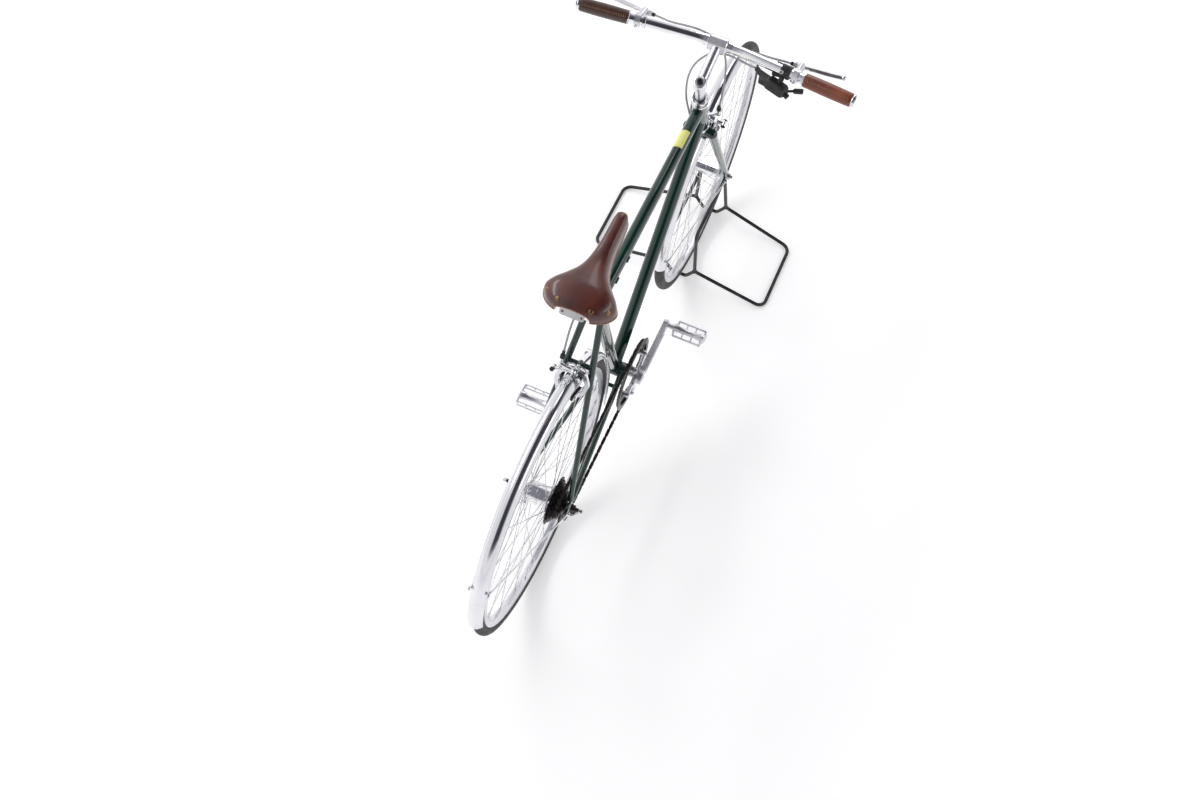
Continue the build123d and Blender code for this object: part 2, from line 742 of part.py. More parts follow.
def chain_outline(offset):
    """The chain's side view grown by an offset, wheels listed clockwise seen from the right."""
    return belt([(0, tyre_radius, cog_pitch + offset, 1),
                 (bb_x, bb_z, chainring_pitch + offset, 1),
                 (tension_pulley.X, tension_pulley.Z, pulley_pitch + offset, 1),
                 (guide_pulley.X, guide_pulley.Z, pulley_pitch - offset, -1)])


def upright(face, y_far, thickness):
    """Extrude an X-Z outline sideways from y_far towards the left."""
    return extrude(Plane((0, y_far, 0), x_dir=(1, 0, 0), z_dir=(0, -1, 0)) * face, -thickness)


def make_chain():
    band = chain_outline(chain_half_height) - chain_outline(-chain_half_height)
    return upright(band, -chain_line - chain_half_width, 2 * chain_half_width)


def make_cassette():
    """Cogs on one sleeve; the one that carries the chain is cut back to leave room for it."""
    half = 0.8
    sleeve = 20.0
    first_y = -chain_line + chain_cog * cog_spacing
    outline = [(axle_radius + running_fit, first_y + half)]
    for index, teeth in enumerate(cog_teeth):
        y = first_y - index * cog_spacing
        tip = pitch_radius(teeth) + 2
        if index == chain_cog:
            tip = cog_pitch - chain_half_height - chain_gap
        outline += [(sleeve, y + half), (tip, y + half), (tip, y - half), (sleeve, y - half)]
    last_y = first_y - (len(cog_teeth) - 1) * cog_spacing - half
    outline[1:2] = [(sleeve, first_y + half)]
    outline.append((axle_radius + running_fit, last_y))
    return turned(outline)


def make_derailleur():
    """Cage plates on both sides of the chain, two pulleys and the body on its hanger."""
    plate_outer = chain_half_width + 2
    cage = []
    for y in (-chain_line + plate_outer, -chain_line - plate_outer):
        low = y - 0.8
        slab = rod((guide_pulley.X, low, guide_pulley.Z), (guide_pulley.X, low + 1.6, guide_pulley.Z), 12)
        slab += rod((tension_pulley.X, low, tension_pulley.Z),
                    (tension_pulley.X, low + 1.6, tension_pulley.Z), 12)
        middle = (guide_pulley + tension_pulley) / 2
        span = tension_pulley - guide_pulley
        angle = math.degrees(math.atan2(-span.Z, span.X))
        web = Solid.make_box(span.length, 1.6, 14).moved(Location((-span.length / 2, -0.8, -7)))
        slab += web.rotate(Axis.Y, angle).moved(Location((middle.X, y, middle.Z)))
        cage.append(slab)
    pins = []
    for centre in (guide_pulley, tension_pulley):
        pulley = cross_rod(centre, pulley_pitch - chain_half_height - chain_gap,
                           -chain_line - 3, -chain_line + 3)
        pin = cross_rod(centre, 3, -chain_line - plate_outer - 2, -chain_line + plate_outer + 2)
        pins.append(pulley + pin)
    frame_part = cage[0] + cage[1] + pins[0] + pins[1]
    hanger_eye = rear_axle + Vector(6, 0, -28)
    knuckle_y = -dropout_y - dropout_thickness / 2 - part_gap
    body = cross_rod(hanger_eye, 8, knuckle_y - 12, knuckle_y)
    body += rod((hanger_eye.X, knuckle_y - 6, hanger_eye.Z),
                (guide_pulley.X + 12, knuckle_y + 4, guide_pulley.Z - 6), 9)
    body += rod((guide_pulley.X + 12, knuckle_y + 4, guide_pulley.Z - 6),
                (guide_pulley.X + 12, -chain_line - plate_outer - 0.8, guide_pulley.Z - 6), 9)
    return frame_part + body


def make_cranks():
    half = bb_shell_width / 2
    arm_inner = crank_arm_y - crank_arm_thickness / 2
    spindle = cross_rod(bottom_bracket, spindle_radius, -arm_inner, arm_inner)
    add("crank_spindle", spindle)
    right_end = bottom_bracket + Vector(crank_length, 0, 0)
    left_end = bottom_bracket - Vector(crank_length, 0, 0)
    for name, end, side in (("crank_right", right_end, -1), ("crank_left", left_end, 1)):
        low = min(side * arm_inner, side * (arm_inner + crank_arm_thickness))
        high = low + crank_arm_thickness
        arm = cross_rod(bottom_bracket, 19, low, high) + cross_rod(end, 13, low, high)
        middle = (bottom_bracket + end) / 2
        bar = Solid.make_box(crank_length, crank_arm_thickness, 24)
        arm += bar.moved(Location((middle.X - crank_length / 2, low, bb_z - 12)))
        if side < 0:
            arm += make_spider(arm_inner)
        arm -= cross_rod(end, 7 + running_fit, low - 1, high + 1)
        add(name, arm)
    ring_radius = chainring_pitch - chain_half_height - chain_gap
    ring_low = -chain_line - 1.2
    ring = cross_rod(bottom_bracket, ring_radius, ring_low, ring_low + 2.4)
    ring -= cross_rod(bottom_bracket, 48, ring_low - 1, ring_low + 4)
    add("chainring", ring)
    guard_y = -chain_line - chain_half_width - 1 - 2.4
    guard_ring = cross_rod(bottom_bracket, chainring_pitch + guard_ring_margin, guard_y, guard_y + 2.4)
    guard_ring -= cross_rod(bottom_bracket, 56, guard_y - 1, guard_y + 4)
    add("chain_guard_ring", guard_ring - nodes["crank_right"])


def make_spider(arm_inner):
    """Five arms from the right crank out to the ring's bolt circle."""
    thickness = 5
    low = -arm_inner
    spider = cross_rod(bottom_bracket, 30, low - 2, low + thickness)
    for index in range(5):
        angle = math.radians(180 + index * 72)
        tip = bottom_bracket + Vector(math.cos(angle) * 60, 0, math.sin(angle) * 60)
        spider += rod((bottom_bracket.X, low + 3, bb_z), (tip.X, low + 3, tip.Z), 5)
        spider += cross_rod(tip, 7, low, -chain_line - 1.2 - seat_gap)
    spider -= cross_rod(bottom_bracket, spindle_radius + seat_gap, low, 0)
    return spider


def make_pedal(side, end, nose_down):
    """A cage pedal: axle in the crank, barrel, and two side plates joined by end plates."""
    arm_outer = crank_arm_y + crank_arm_thickness / 2
    inner = arm_outer + pedal_gap
    outer = inner + pedal_length
    thickness = 3
    cage = Solid.make_box(pedal_depth, pedal_length, pedal_height)
    hollow = Solid.make_box(pedal_depth - 2 * thickness, pedal_length - 2 * thickness, pedal_height + 2)
    cage = cage.moved(Location((-pedal_depth / 2, inner, -pedal_height / 2)))
    hollow = hollow.moved(Location((-pedal_depth / 2 + thickness, inner + thickness,
                                    -pedal_height / 2 - 1)))
    centre = Vector(0, 0, 0)
    pedal = cage - hollow + cross_rod(centre, 11, inner, outer)
    for y in (inner + 10, outer - 24):
        pedal += Solid.make_box(pedal_depth - 4, 14, 6).moved(Location((2 - pedal_depth / 2, y, -3)))
    pedal += cross_rod(centre, 7, arm_outer - crank_arm_thickness, inner)
    if side < 0:
        pedal = mirrored(pedal)
    return pedal.rotate(Axis.Y, nose_down).moved(Location(end))


# ---------------------------------------------------------------- saddle and post
def saddle_section(ahead, half, top, depth, inset):
    """One arched cross-section of the saddle, drawn in by an inset."""
    x = saddle_rear_x + ahead
    low = saddle_height - top - depth - (20 if inset else 0)
    high = saddle_height - top - inset
    half = half - inset
    rise = high - low
    arch = Spline((x, half, low), (x, half * 0.93, low + rise * 0.55), (x, half * 0.62, high - rise * 0.1),
                  (x, 0, high), (x, -half * 0.62, high - rise * 0.1),
                  (x, -half * 0.93, low + rise * 0.55), (x, -half, low))
    return make_face(arch + Line((x, -half, low), (x, half, low)))


def saddle_form(inset):
    """The saddle lofted through its cross-sections, given from the rear as distance ahead, half
    width, fall of the top below the highest point, and depth of the skirt."""
    sections = []
    last = len(saddle_stations) - 1
    for index, (ahead, half, top, depth) in enumerate(saddle_stations):
        drawn = ahead
        if index == 0:
            drawn = ahead + inset
        if index == last:
            drawn = ahead - inset
        sections.append(saddle_section(drawn, half, top, depth, inset))
    return loft(sections)


def make_saddle():
    inner = saddle_form(leather_thickness)
    add("saddle_leather", saddle_form(0) - inner)
    clamp = bottom_bracket + seat_up * ((saddle_height - 62 - bb_z) / math.sin(seat))
    rear_z = saddle_height - 38
    rail_z = clamp.Z + 6
    plate_slab = Solid.make_box(20, saddle_width, 11).moved(
        Location((saddle_rear_x, -saddle_width / 2, rear_z - 5.5)))
    cantle = (saddle_form(leather_thickness + part_gap) - saddle_form(leather_thickness + 4)) & plate_slab
    nose = Vector(saddle_rear_x + saddle_length - 26, 0, rail_z + 26)
    rails = []
    for side in (1, -1):
        points = [(nose.X, side * 3.5, nose.Z), (nose.X - 52, side * 11, rail_z),
                  (clamp.X + 14, side * rail_spread, rail_z), (clamp.X - 40, side * rail_spread, rail_z),
                  (saddle_rear_x + 7, side * (rail_spread + 16), rear_z)]
        rails.append(bent_rod(points, [50, 60, 40], rail_radius))
    yoke = Solid.make_box(12, 15, 13).moved(Location(nose - Vector(6, 7.5, 6.5)))
    metal = cantle + rails[0] + rails[1] + yoke
    add("saddle_rails", metal)
    post = rod(seat_top, clamp - seat_up * 12, seatpost_radius)
    head_block = rod((clamp.X, -rail_spread - 8, clamp.Z - 6), (clamp.X, rail_spread + 8, clamp.Z - 6), 14)
    for rail in rails:
        head_block -= rail
    add("seatpost", post + head_block)
    collar_low = seat_top - seat_up * 11
    add("seat_clamp", tube(collar_low, seat_top, seat_tube_radius + 3, seat_tube_radius + seat_gap)
        - nodes["seatstays"])


# ---------------------------------------------------------------- cables
def make_cables():
    """Each route starts and ends on the part that holds the cable."""
    start = lever_ferrule(1) - Vector(0, part_gap, 0)
    mouth = barrel_mouth(front_brake_place, front_brake_ahead, front_barrel_top)
    end = mouth + head_up * 3 * part_gap
    add("front_brake_cable", cord([start, start - Vector(0, 16, 0), (937, 122, 927), (939, 78, 932),
                                   (944, 53, 928), (951, 26, 916), (956, 2, 894), (953, -13, 868),
                                   (944, -22, 840), (930, -28, 814), (913, -32, 791),
                                   end + Vector(1, 0, 18), end], cable_radius))
    start = lever_ferrule(-1) + Vector(0, part_gap, 0)
    add("rear_brake_cable_loop", cord([start, start + Vector(0, 16, 0), (938, -122, 925),
                                       (937, -84, 925), (937, -50, 920), (942, -18, 908), (936, 6, 896),
                                       (918, 24, 885), (899, 40, 874), (880, 47, 850), (864, 43, 822),
                                       (852, 35, 800), (841, 23, 784), front_stop + Vector(14, 0, 0),
                                       front_stop], cable_radius))
    start = shifter_nose() + Vector(2, 4, 0)
    add("gear_cable_loop", cord([start, (931, -70, 889), (938, -42, 888), (942, -14, 886), (939, 8, 874),
                                 (928, 16, 850), (912, 19, 826), (892, 23, 804), (874, 26, 786),
                                 (866, 25, 766), (863, 21.5, 742), gear_stop - down_tube_back * 20,
                                 gear_stop], cable_radius))
    mouth = barrel_mouth(rear_brake_place, rear_brake_behind, rear_barrel_top)
    end = mouth + stay_direction * part_gap
    add("rear_brake_cable", cord([rear_stop, rear_stop - Vector(12, 0, 0), (266, 30, 776),
                                  (238, 38, 756), (208, 38, 728), end + stay_direction * 14, end],
                                 cable_radius))


# ---------------------------------------------------------------- wheel stand
def make_stand():
    """Two closed rod loops, each on the floor at its outer side and rising beside the wheel, and
    two crossbars that dip under the wheel between them."""
    floor = stand_rod
    loops = []
    for side in (1, -1):
        middle_x = (stand_rear_x + stand_front_x) / 2
        foot = (middle_x, side * stand_half_width, floor)
        top = (middle_x, side * stand_top_y, stand_top_z)
        halves = []
        for foot_x, junction_x, top_x in ((stand_rear_x, stand_rear_x, stand_top_x[0]),
                                          (stand_front_x, stand_front_junction_x, stand_top_x[1])):
            points = [foot, (foot_x, side * stand_half_width, floor),
                      (junction_x, side * stand_junction_y, stand_junction_z),
                      (top_x, side * stand_top_y, stand_top_z), top]
            halves.append(bent_rod(points, [stand_corner_radius, 16, 18], stand_rod))
        loops.append(halves[0] + halves[1])
    crossbars = []
    for x in (stand_rear_x, stand_front_junction_x):
        points = [(x, stand_junction_y, stand_junction_z), (x + 8, stand_dip_y, floor),
                  (x + 8, -stand_dip_y, floor), (x, -stand_junction_y, stand_junction_z)]
        bar = bent_rod(points, [12, 12], stand_rod)
        crossbars.append(bar - loops[0] - loops[1])
    add("stand_loop_left", loops[0])
    add("stand_loop_right", loops[1])
    add("stand_crossbars", group(crossbars))


# ---------------------------------------------------------------- assembly
def make_wheels():
    front_hub = make_hub(front_hub_width, front_flange_radius, front_barrel_radius, front_flange_y,
                         -front_flange_y, -front_hub_width / 2 + 4)
    rear_hub = make_hub(rear_hub_width, rear_flange_radius, rear_barrel_radius, rear_flange_left_y,
                        rear_flange_right_y, rear_flange_right_y - 5)
    front_spokes = make_spokes(front_flange_radius, front_flange_y, -front_flange_y)
    rear_spokes = make_spokes(rear_flange_radius, rear_flange_left_y, rear_flange_right_y)
    for name, axle, hub, spokes in (("front", front_axle, front_hub, front_spokes),
                                    ("rear", rear_axle, rear_hub, rear_spokes)):
        add(name + "_tyre", at_axle(make_tyre(), axle))
        add(name + "_rim", at_axle(make_rim(), axle))
        add(name + "_spokes", at_axle(spokes, axle))
        add(name + "_hub", at_axle(hub, axle))
    add("cassette", at_axle(make_cassette(), rear_axle))
    add("front_axle", at_axle(make_axle(front_hub_width, 8, front_axle_end), front_axle))
    add("rear_axle", at_axle(make_axle(rear_hub_width, 10, rear_axle_end), rear_axle))


make_wheels()
make_frame()
make_headset()
make_fork()
make_stem()
make_handlebar()
make_brake_levers()
add("gear_shifter", make_shifter())
make_brakes()
front_guard = at_axle(make_mudguard(front_guard_angles), front_axle)
front_guard += guard_post(front_axle, on_steering(0, 0, crown_bottom), crown_underside)
add("front_mudguard", front_guard)
rear_guard = at_axle(make_mudguard(rear_guard_angles), rear_axle)
rear_guard += guard_post(rear_axle, bridge_centre, bridge_boss_radius)
rear_guard += guard_post(rear_axle, chainstay_bridge_centre, chainstay_bridge_radius)
add("rear_mudguard", rear_guard)
add("front_mudguard_stays", guard_stays(front_axle, front_hub_width / 2 + dropout_thickness,
                                        front_stay_elevation, front_eyelet_distance))
add("rear_mudguard_stays", guard_stays(rear_axle, rear_hub_width / 2 + dropout_thickness,
                                       rear_stay_elevation, rear_eyelet_distance))
add("chain", make_chain())
add("rear_derailleur", make_derailleur())
make_cranks()
pedal_right_place = bottom_bracket + Vector(crank_length, 0, 0)
pedal_left_place = bottom_bracket - Vector(crank_length, 0, 0)
add("pedal_right", make_pedal(-1, pedal_right_place, right_pedal_tilt))
add("pedal_left", make_pedal(1, pedal_left_place, 0))
make_saddle()
make_cables()
make_stand()

os.makedirs("parts", exist_ok=True)
to_row = Location((-origin_x, 0, 0))
for node_name, shape in nodes.items():
    export_step(shape.moved(to_row), os.path.join("parts", node_name + ".step"))
    print(node_name, round(sum(solid.volume for solid in shape.solids())), len(shape.solids()))
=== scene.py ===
import math

import bmesh
import bpy
from mathutils import Matrix, Vector


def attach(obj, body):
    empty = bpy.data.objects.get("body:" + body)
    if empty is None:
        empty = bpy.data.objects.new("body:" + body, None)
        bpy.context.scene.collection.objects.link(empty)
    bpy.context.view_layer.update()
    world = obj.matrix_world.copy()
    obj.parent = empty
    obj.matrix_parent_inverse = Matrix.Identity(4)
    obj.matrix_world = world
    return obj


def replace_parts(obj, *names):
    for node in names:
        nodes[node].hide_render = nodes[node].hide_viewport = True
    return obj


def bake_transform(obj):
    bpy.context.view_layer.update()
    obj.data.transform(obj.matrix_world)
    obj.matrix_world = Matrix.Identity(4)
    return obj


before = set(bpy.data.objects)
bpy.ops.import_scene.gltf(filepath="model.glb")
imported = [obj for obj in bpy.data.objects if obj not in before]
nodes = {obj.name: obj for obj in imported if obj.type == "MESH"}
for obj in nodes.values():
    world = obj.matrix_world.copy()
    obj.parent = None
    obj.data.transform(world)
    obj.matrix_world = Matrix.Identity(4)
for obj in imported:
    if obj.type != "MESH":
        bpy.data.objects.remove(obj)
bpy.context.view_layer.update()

# City bicycle on a wire wheel stand.  Places are given in millimetres from the floor under the
# rear axle, +X forward, +Y to the rider's left, +Z up, and at() turns them into the row frame.

# ---------------------------------------------------------------- dimensions, mm
ORIGIN_X = 519.0
MM = 0.001

WHEELBASE = 1050.0
TYRE_RADIUS = 346.0
TYRE_SECTION = 13.5
TREAD_SEGMENTS = 520
TREAD_RING_DEPTH = 0.55
TREAD_GROOVE_DEPTH = 0.6
RIM_FLANGE_RADIUS = 322.0
RIM_INNER_RADIUS = 304.0
SPOKE_COUNT = 36
SPOKE_CROSSES = 3
SPOKE_SIDE_SHIFT = 3.1
HUBS = {"front": (29.0, 35.0, -35.0), "rear": (33.0, 34.0, -19.0)}
HUB_BARRELS = {"front": 15.0, "rear": 26.0}

HEAD_ANGLE = math.radians(72.0)
HEAD_FOOT = Vector((1002.45, 0, 330.55))
SEAT_ANGLE = math.radians(73.4)
BOTTOM_BRACKET = Vector((421.9, 0, 274.0))
CROWN_HEIGHT = 385.0
TUBE_BOTTOM = 397.3
TUBE_TOP = 513.3
STACK_TOP = 538.3
QUILL_TOP = 614.3
SEAT_TUBE_LENGTH = 566.0
TOP_TUBE_RADIUS = 14.3
TOP_TUBE_Z = 788.29
STAY_DIRECTION = Vector((0.51497, 0, 0.85721))
BRIDGE_CENTRE = Vector((188.48, 0, 659.74))

BAR_CENTRE = Vector((920.62, 0, 929.78))
BAR_HALF_WIDTH = 330.0
BAR_BEND_Y = 45.0
BAR_SWEEP = 31.0
BAR_LIFT = 5.0
BAR_RADIUS = 11.1
END_CAP = 8.0
GRIP_LENGTH = 112.0
GRIP_RADIUS = 16.0
STITCH_PITCH = 4.0
LEVER_Y = 188.0
LEVER_BLADE = ((20, 2, -1, 5.4, 3.6), (30, 4.6, -1, 6.0, 3.4), (45, 6.2, -1.6, 6.6, 3.2),
               (60, 8, -2, 6.8, 3.0), (78, 10.6, -2.5, 6.6, 3.0), (92, 12.6, -3, 6.0, 3.4),
               (100, 13.6, -3.2, 5.0, 3.6))
SHIFTER_Y = 160.0

SADDLE_REAR_X = 130.0
SADDLE_HEIGHT = 979.0
SADDLE_STATIONS = ((0, 38, 18, 22), (8, 56, 10, 32), (22, 70, 4, 42), (40, 77.5, 1, 46), (58, 70, 1, 46),
                   (78, 53.5, 4, 44), (102, 36, 8, 42), (130, 26, 11, 40), (165, 20, 10, 38),
                   (205, 18, 8, 34), (238, 16, 6, 30), (250, 10, 12, 22))
SADDLE_RIVETS = ((0.20, 0.62), (0.20, -0.62), (0.10, 0.33), (0.10, -0.33), (0.955, 0.35), (0.955, -0.35),
                 (0.975, 0.0))
LEATHER_THICKNESS = 4.6

GUARD_RADIUS = 358.0
GUARD_WIDTH = 35.0
GUARD_DEPTH = 12.0
GUARDS = {"rear": (0.0, -18.0, 175.5, 154.0), "front": (WHEELBASE, 75.0, 181.5, 176.0)}
BEAD_RADIUS = 1.5

CHAIN_PITCH = 12.7
CHAIN_LINE = -47.5
CHAINRING_TEETH = 44
COG_TEETH = (28, 25, 22, 19, 17, 15, 13)
COG_SPACING = 4.6
CHAIN_COG = 4
PULLEY_TEETH = 11
GUIDE_PULLEY = (8.0, 274.0)
TENSION_PULLEY = (40.0, 218.0)
CRANK_LENGTH = 170.0
CRANK_ARM_Y = 72.0
CRANK_ARM_HALF = 6.5
PEDAL_GAP = 18.0
PEDAL_LENGTH = 82.0
PEDAL_DEPTH = 54.0
PEDAL_HEIGHT = 24.0
RIGHT_PEDAL_TILT = math.radians(31.0)

INNER_PLATE_FACE = 1.4
OUTER_PLATE_FACE = 2.55
PLATE_THICKNESS = 1.1
PLATE_END_RADIUS = 4.2
PLATE_WAIST = 3.8
PIN_RADIUS = 1.8
PIN_HALF_LENGTH = 3.7
ROLLER_RADIUS = 3.7
TOOTH_SHAPE = ((0.0, -3.8), (0.14, -3.2), (0.26, -0.6), (0.42, 2.6), (0.5, 2.9), (0.58, 2.6),
               (0.74, -0.6), (0.86, -3.2))
SPIDER_ARMS = 5
SPIDER_ANGLES = [math.pi + 2 * math.pi * arm / SPIDER_ARMS for arm in range(SPIDER_ARMS)]
SPIDER_BOLT_RADIUS = 60.0
GUARD_RING_OFFSET = 5.8
GUARD_RING_OVERHANG = 10.0

CABLE_DIAMETER = 4.8
WIRE_Y = 12.37
WIRE_Z = 775.92
STICKER = (715.0, 767.5)
STICKER_THICKNESS = 0.2
STICKER_LIFT = 0.25
STICKER_TURN = (-38, 102)
SADDLE_CLAMP_X = 230.21
AXLES = (("front", "fork_and_stand", WHEELBASE, 55.0, 70.0), ("rear", "frame", 0.0, 70.0, 99.0))

BRAKE_AHEAD = 32.0
FRONT_BRAKE_ALONG = CROWN_HEIGHT - 13.5
BRIDGE_DISTANCE = 366.0
RIM_HALF_WIDTH = 10.0
PAD_GAP = 2.0
PAD_DEPTH = 8.0
PAD_FINS = 8
PAD_FIN_PITCH = 6.54
BRAKE_SPRING = ((2, 9), (9, 10.5), (19, 7), (27, -3), (31.5, -16), (30.5, -30))
BARREL_Y = -33.5
ANCHOR_Y = -47.0

STAND_CROSSBAR_XS = (924.0, 1174.0)
STAND_WELD_Y = 47.0
STAND_WELD_Z = 52.0

head_up = Vector((-math.cos(HEAD_ANGLE), 0, math.sin(HEAD_ANGLE)))
head_forward = Vector((math.sin(HEAD_ANGLE), 0, math.cos(HEAD_ANGLE)))
seat_up = Vector((-math.cos(SEAT_ANGLE), 0, math.sin(SEAT_ANGLE)))
stay_back = Vector((-STAY_DIRECTION.z, 0, STAY_DIRECTION.x))
seat_top = BOTTOM_BRACKET + seat_up * SEAT_TUBE_LENGTH


# ---------------------------------------------------------------- places
def at(point):
    """A place in bicycle millimetres as a point of the row frame."""
    return Vector(((point[0] - ORIGIN_X) * MM, point[1] * MM, point[2] * MM))


def spot(point, direction, ahead=None):
    """A matrix that puts local millimetres at a place, with local Z along a direction."""
    z_axis = Vector(direction).normalized()
    guess = Vector(ahead) if ahead is not None else Vector((0, 1, 0))
    if abs(z_axis.dot(guess.normalized())) > 0.95:
        guess = Vector((1, 0, 0))
    x_axis = (guess - z_axis * guess.dot(z_axis)).normalized()
    y_axis = z_axis.cross(x_axis)
    turn = Matrix((x_axis, y_axis, z_axis)).transposed().to_4x4()
    return Matrix.Translation(at(point)) @ turn @ Matrix.Scale(MM, 4)


def steering_point(forward, left, along):
    return HEAD_FOOT + head_forward * forward + Vector((0, left, 0)) + head_up * along


def on_bar(side, y):
    """A point of the handlebar's outer stretch at a distance from the middle."""
    share = (y - BAR_BEND_Y) / (BAR_HALF_WIDTH - BAR_BEND_Y)
    return BAR_CENTRE + Vector((-BAR_SWEEP * share, side * y, BAR_LIFT * share))


def bar_direction(side):
    return (on_bar(side, BAR_HALF_WIDTH) - on_bar(side, BAR_BEND_Y)).normalized()


def add_object(name, data):
    """A new object of the scene."""
    obj = bpy.data.objects.new(name, data)
    bpy.context.scene.collection.objects.link(obj)
    return obj


# ---------------------------------------------------------------- camera
CAMERA_PLACE = (-1.54026, -0.47019, 2.95086)
CAMERA_AXES = ((0.401865, 0.801558, -0.442730),
               (-0.914674, 0.374242, -0.152689),
               (0.043299, 0.466314, 0.883559))
CAMERA_LENS = 36.749

camera_data = bpy.data.cameras.new("camera")
camera_data.lens = CAMERA_LENS
camera_data.sensor_width = 36.0
camera_data.clip_start = 0.05
camera_data.clip_end = 60.0
camera = add_object("camera", camera_data)
camera.matrix_world = Matrix.Translation(CAMERA_PLACE) @ Matrix(CAMERA_AXES).to_4x4()
bpy.context.scene.camera = camera


# ---------------------------------------------------------------- material helpers
def noise(tree, scale, detail=3.0, stretch=(1, 1, 1)):
    """Smooth noise in the object's own metres, stretched where lines are wanted."""
    place = tree.nodes.new("ShaderNodeTexCoord")
    mapping = tree.nodes.new("ShaderNodeMapping")
    mapping.inputs["Scale"].default_value = stretch
    texture = tree.nodes.new("ShaderNodeTexNoise")
    texture.inputs["Scale"].default_value = scale
    texture.inputs["Detail"].default_value = detail
    tree.links.new(place.outputs["Object"], mapping.inputs["Vector"])
    tree.links.new(mapping.outputs["Vector"], texture.inputs["Vector"])
    return texture.outputs["Fac"]


def cells(tree, scale, feature="F1"):
    """Cell noise in the object's own metres, for leather grain."""
    place = tree.nodes.new("ShaderNodeTexCoord")
    texture = tree.nodes.new("ShaderNodeTexVoronoi")
    texture.feature = feature
    texture.inputs["Scale"].default_value = scale
    tree.links.new(place.outputs["Object"], texture.inputs["Vector"])
    return texture.outputs["Distance"]


def ramp(tree, factor, stops):
    """A colour for each share of the factor, given as (position, colour or grey) pairs."""
    node = tree.nodes.new("ShaderNodeValToRGB")
    elements = node.color_ramp.elements
    while len(elements) < len(stops):
        elements.new(0.5)
    for element, (position, colour) in zip(elements, stops):
        if isinstance(colour, (int, float)):
            colour = (colour, colour, colour)
        element.position = position
        element.color = (*colour, 1.0)
    tree.links.new(factor, node.inputs["Fac"])
    return node.outputs["Color"]


def mixed(tree, kind, share, first, second):
    """Two colours put together by a blend kind, for a share from 0 to 1 of the second."""
    node = tree.nodes.new("ShaderNodeMix")
    node.data_type = "RGBA"
    node.blend_type = kind
    node.inputs["Factor"].default_value = share
    tree.links.new(first, node.inputs["A"])
    tree.links.new(second, node.inputs["B"])
    return node.outputs["Result"]


def bumped(tree, height, strength, distance, under=None):
    node = tree.nodes.new("ShaderNodeBump")
    node.inputs["Strength"].default_value = strength
    node.inputs["Distance"].default_value = distance
    tree.links.new(height, node.inputs["Height"])
    if under is not None:
        tree.links.new(under, node.inputs["Normal"])
    return node.outputs["Normal"]


def new_finish(name, metallic=0.0, specular=0.5, coat=0.0, coat_roughness=0.03):
    """A material with its shader's even values set, ready for colour, roughness and bumps."""
    material = bpy.data.materials.new(name)
    material.use_nodes = True
    shader = material.node_tree.nodes["Principled BSDF"]
    for socket, value in (("Metallic", metallic), ("Specular IOR Level", specular), ("Coat Weight", coat),
                          ("Coat Roughness", coat_roughness)):
        shader.inputs[socket].default_value = value
    return material, material.node_tree, shader


def finish(name, colours, roughness, drift=14.0, grain=700.0, bump=0.03, stretch=(1, 1, 1), **shader_values):
    """A surface whose colour and roughness drift slowly and whose fine grain shows as bumps."""
    material, tree, shader = new_finish(name, **shader_values)
    colour = ramp(tree, noise(tree, drift, 5.0), ((0.35, colours[0]), (0.65, colours[1])))
    tree.links.new(colour, shader.inputs["Base Color"])
    rough = ramp(tree, noise(tree, drift * 5, 4.0, stretch), ((0.3, roughness[0]), (0.7, roughness[1])))
    tree.links.new(rough, shader.inputs["Roughness"])
    normal = bumped(tree, noise(tree, grain, 2.0, stretch), bump, 0.0004)
    tree.links.new(normal, shader.inputs["Normal"])
    return material


# ---------------------------------------------------------------- materials
def make_leather(name, dark, mid, red, gloss):
    """Waxed leather: cell grain and creases, darker worn patches and redder thin places."""
    material, tree, shader = new_finish(name, specular=0.5, coat=gloss, coat_roughness=0.12)
    cloud = noise(tree, 22.0, 6.0)
    fine = noise(tree, 160.0, 4.0)
    body = ramp(tree, cloud, ((0.3, dark), (0.5, mid), (0.72, red)))
    speck = ramp(tree, fine, ((0.35, 0.84), (0.62, 1.0)))
    tree.links.new(mixed(tree, "MULTIPLY", 0.8, body, speck), shader.inputs["Base Color"])
    rough = ramp(tree, cloud, ((0.3, 0.26), (0.7, 0.42)))
    tree.links.new(rough, shader.inputs["Roughness"])
    creases = bumped(tree, noise(tree, 60.0, 5.0, (1, 2.2, 1)), 0.12, 0.002)
    grain = bumped(tree, cells(tree, 900.0), 0.22, 0.0006, creases)
    tree.links.new(grain, shader.inputs["Normal"])
    return material


def make_paint():
    """Deep gloss green: a coloured base under clear lacquer, with a little orange peel."""
    material, tree, shader = new_finish("frame_green", specular=0.25, coat=1.0, coat_roughness=0.02)
    shade = ramp(tree, noise(tree, 9.0, 4.0), ((0.3, (0.0010, 0.020, 0.014)), (0.7, (0.0018, 0.031, 0.022))))
    tree.links.new(shade, shader.inputs["Base Color"])
    rough = ramp(tree, noise(tree, 90.0, 4.0), ((0.35, 0.16), (0.7, 0.26)))
    tree.links.new(rough, shader.inputs["Roughness"])
    peel = bumped(tree, noise(tree, 180.0, 1.0), 0.02, 0.0006)
    tree.links.new(peel, shader.inputs["Coat Normal"])
    return material


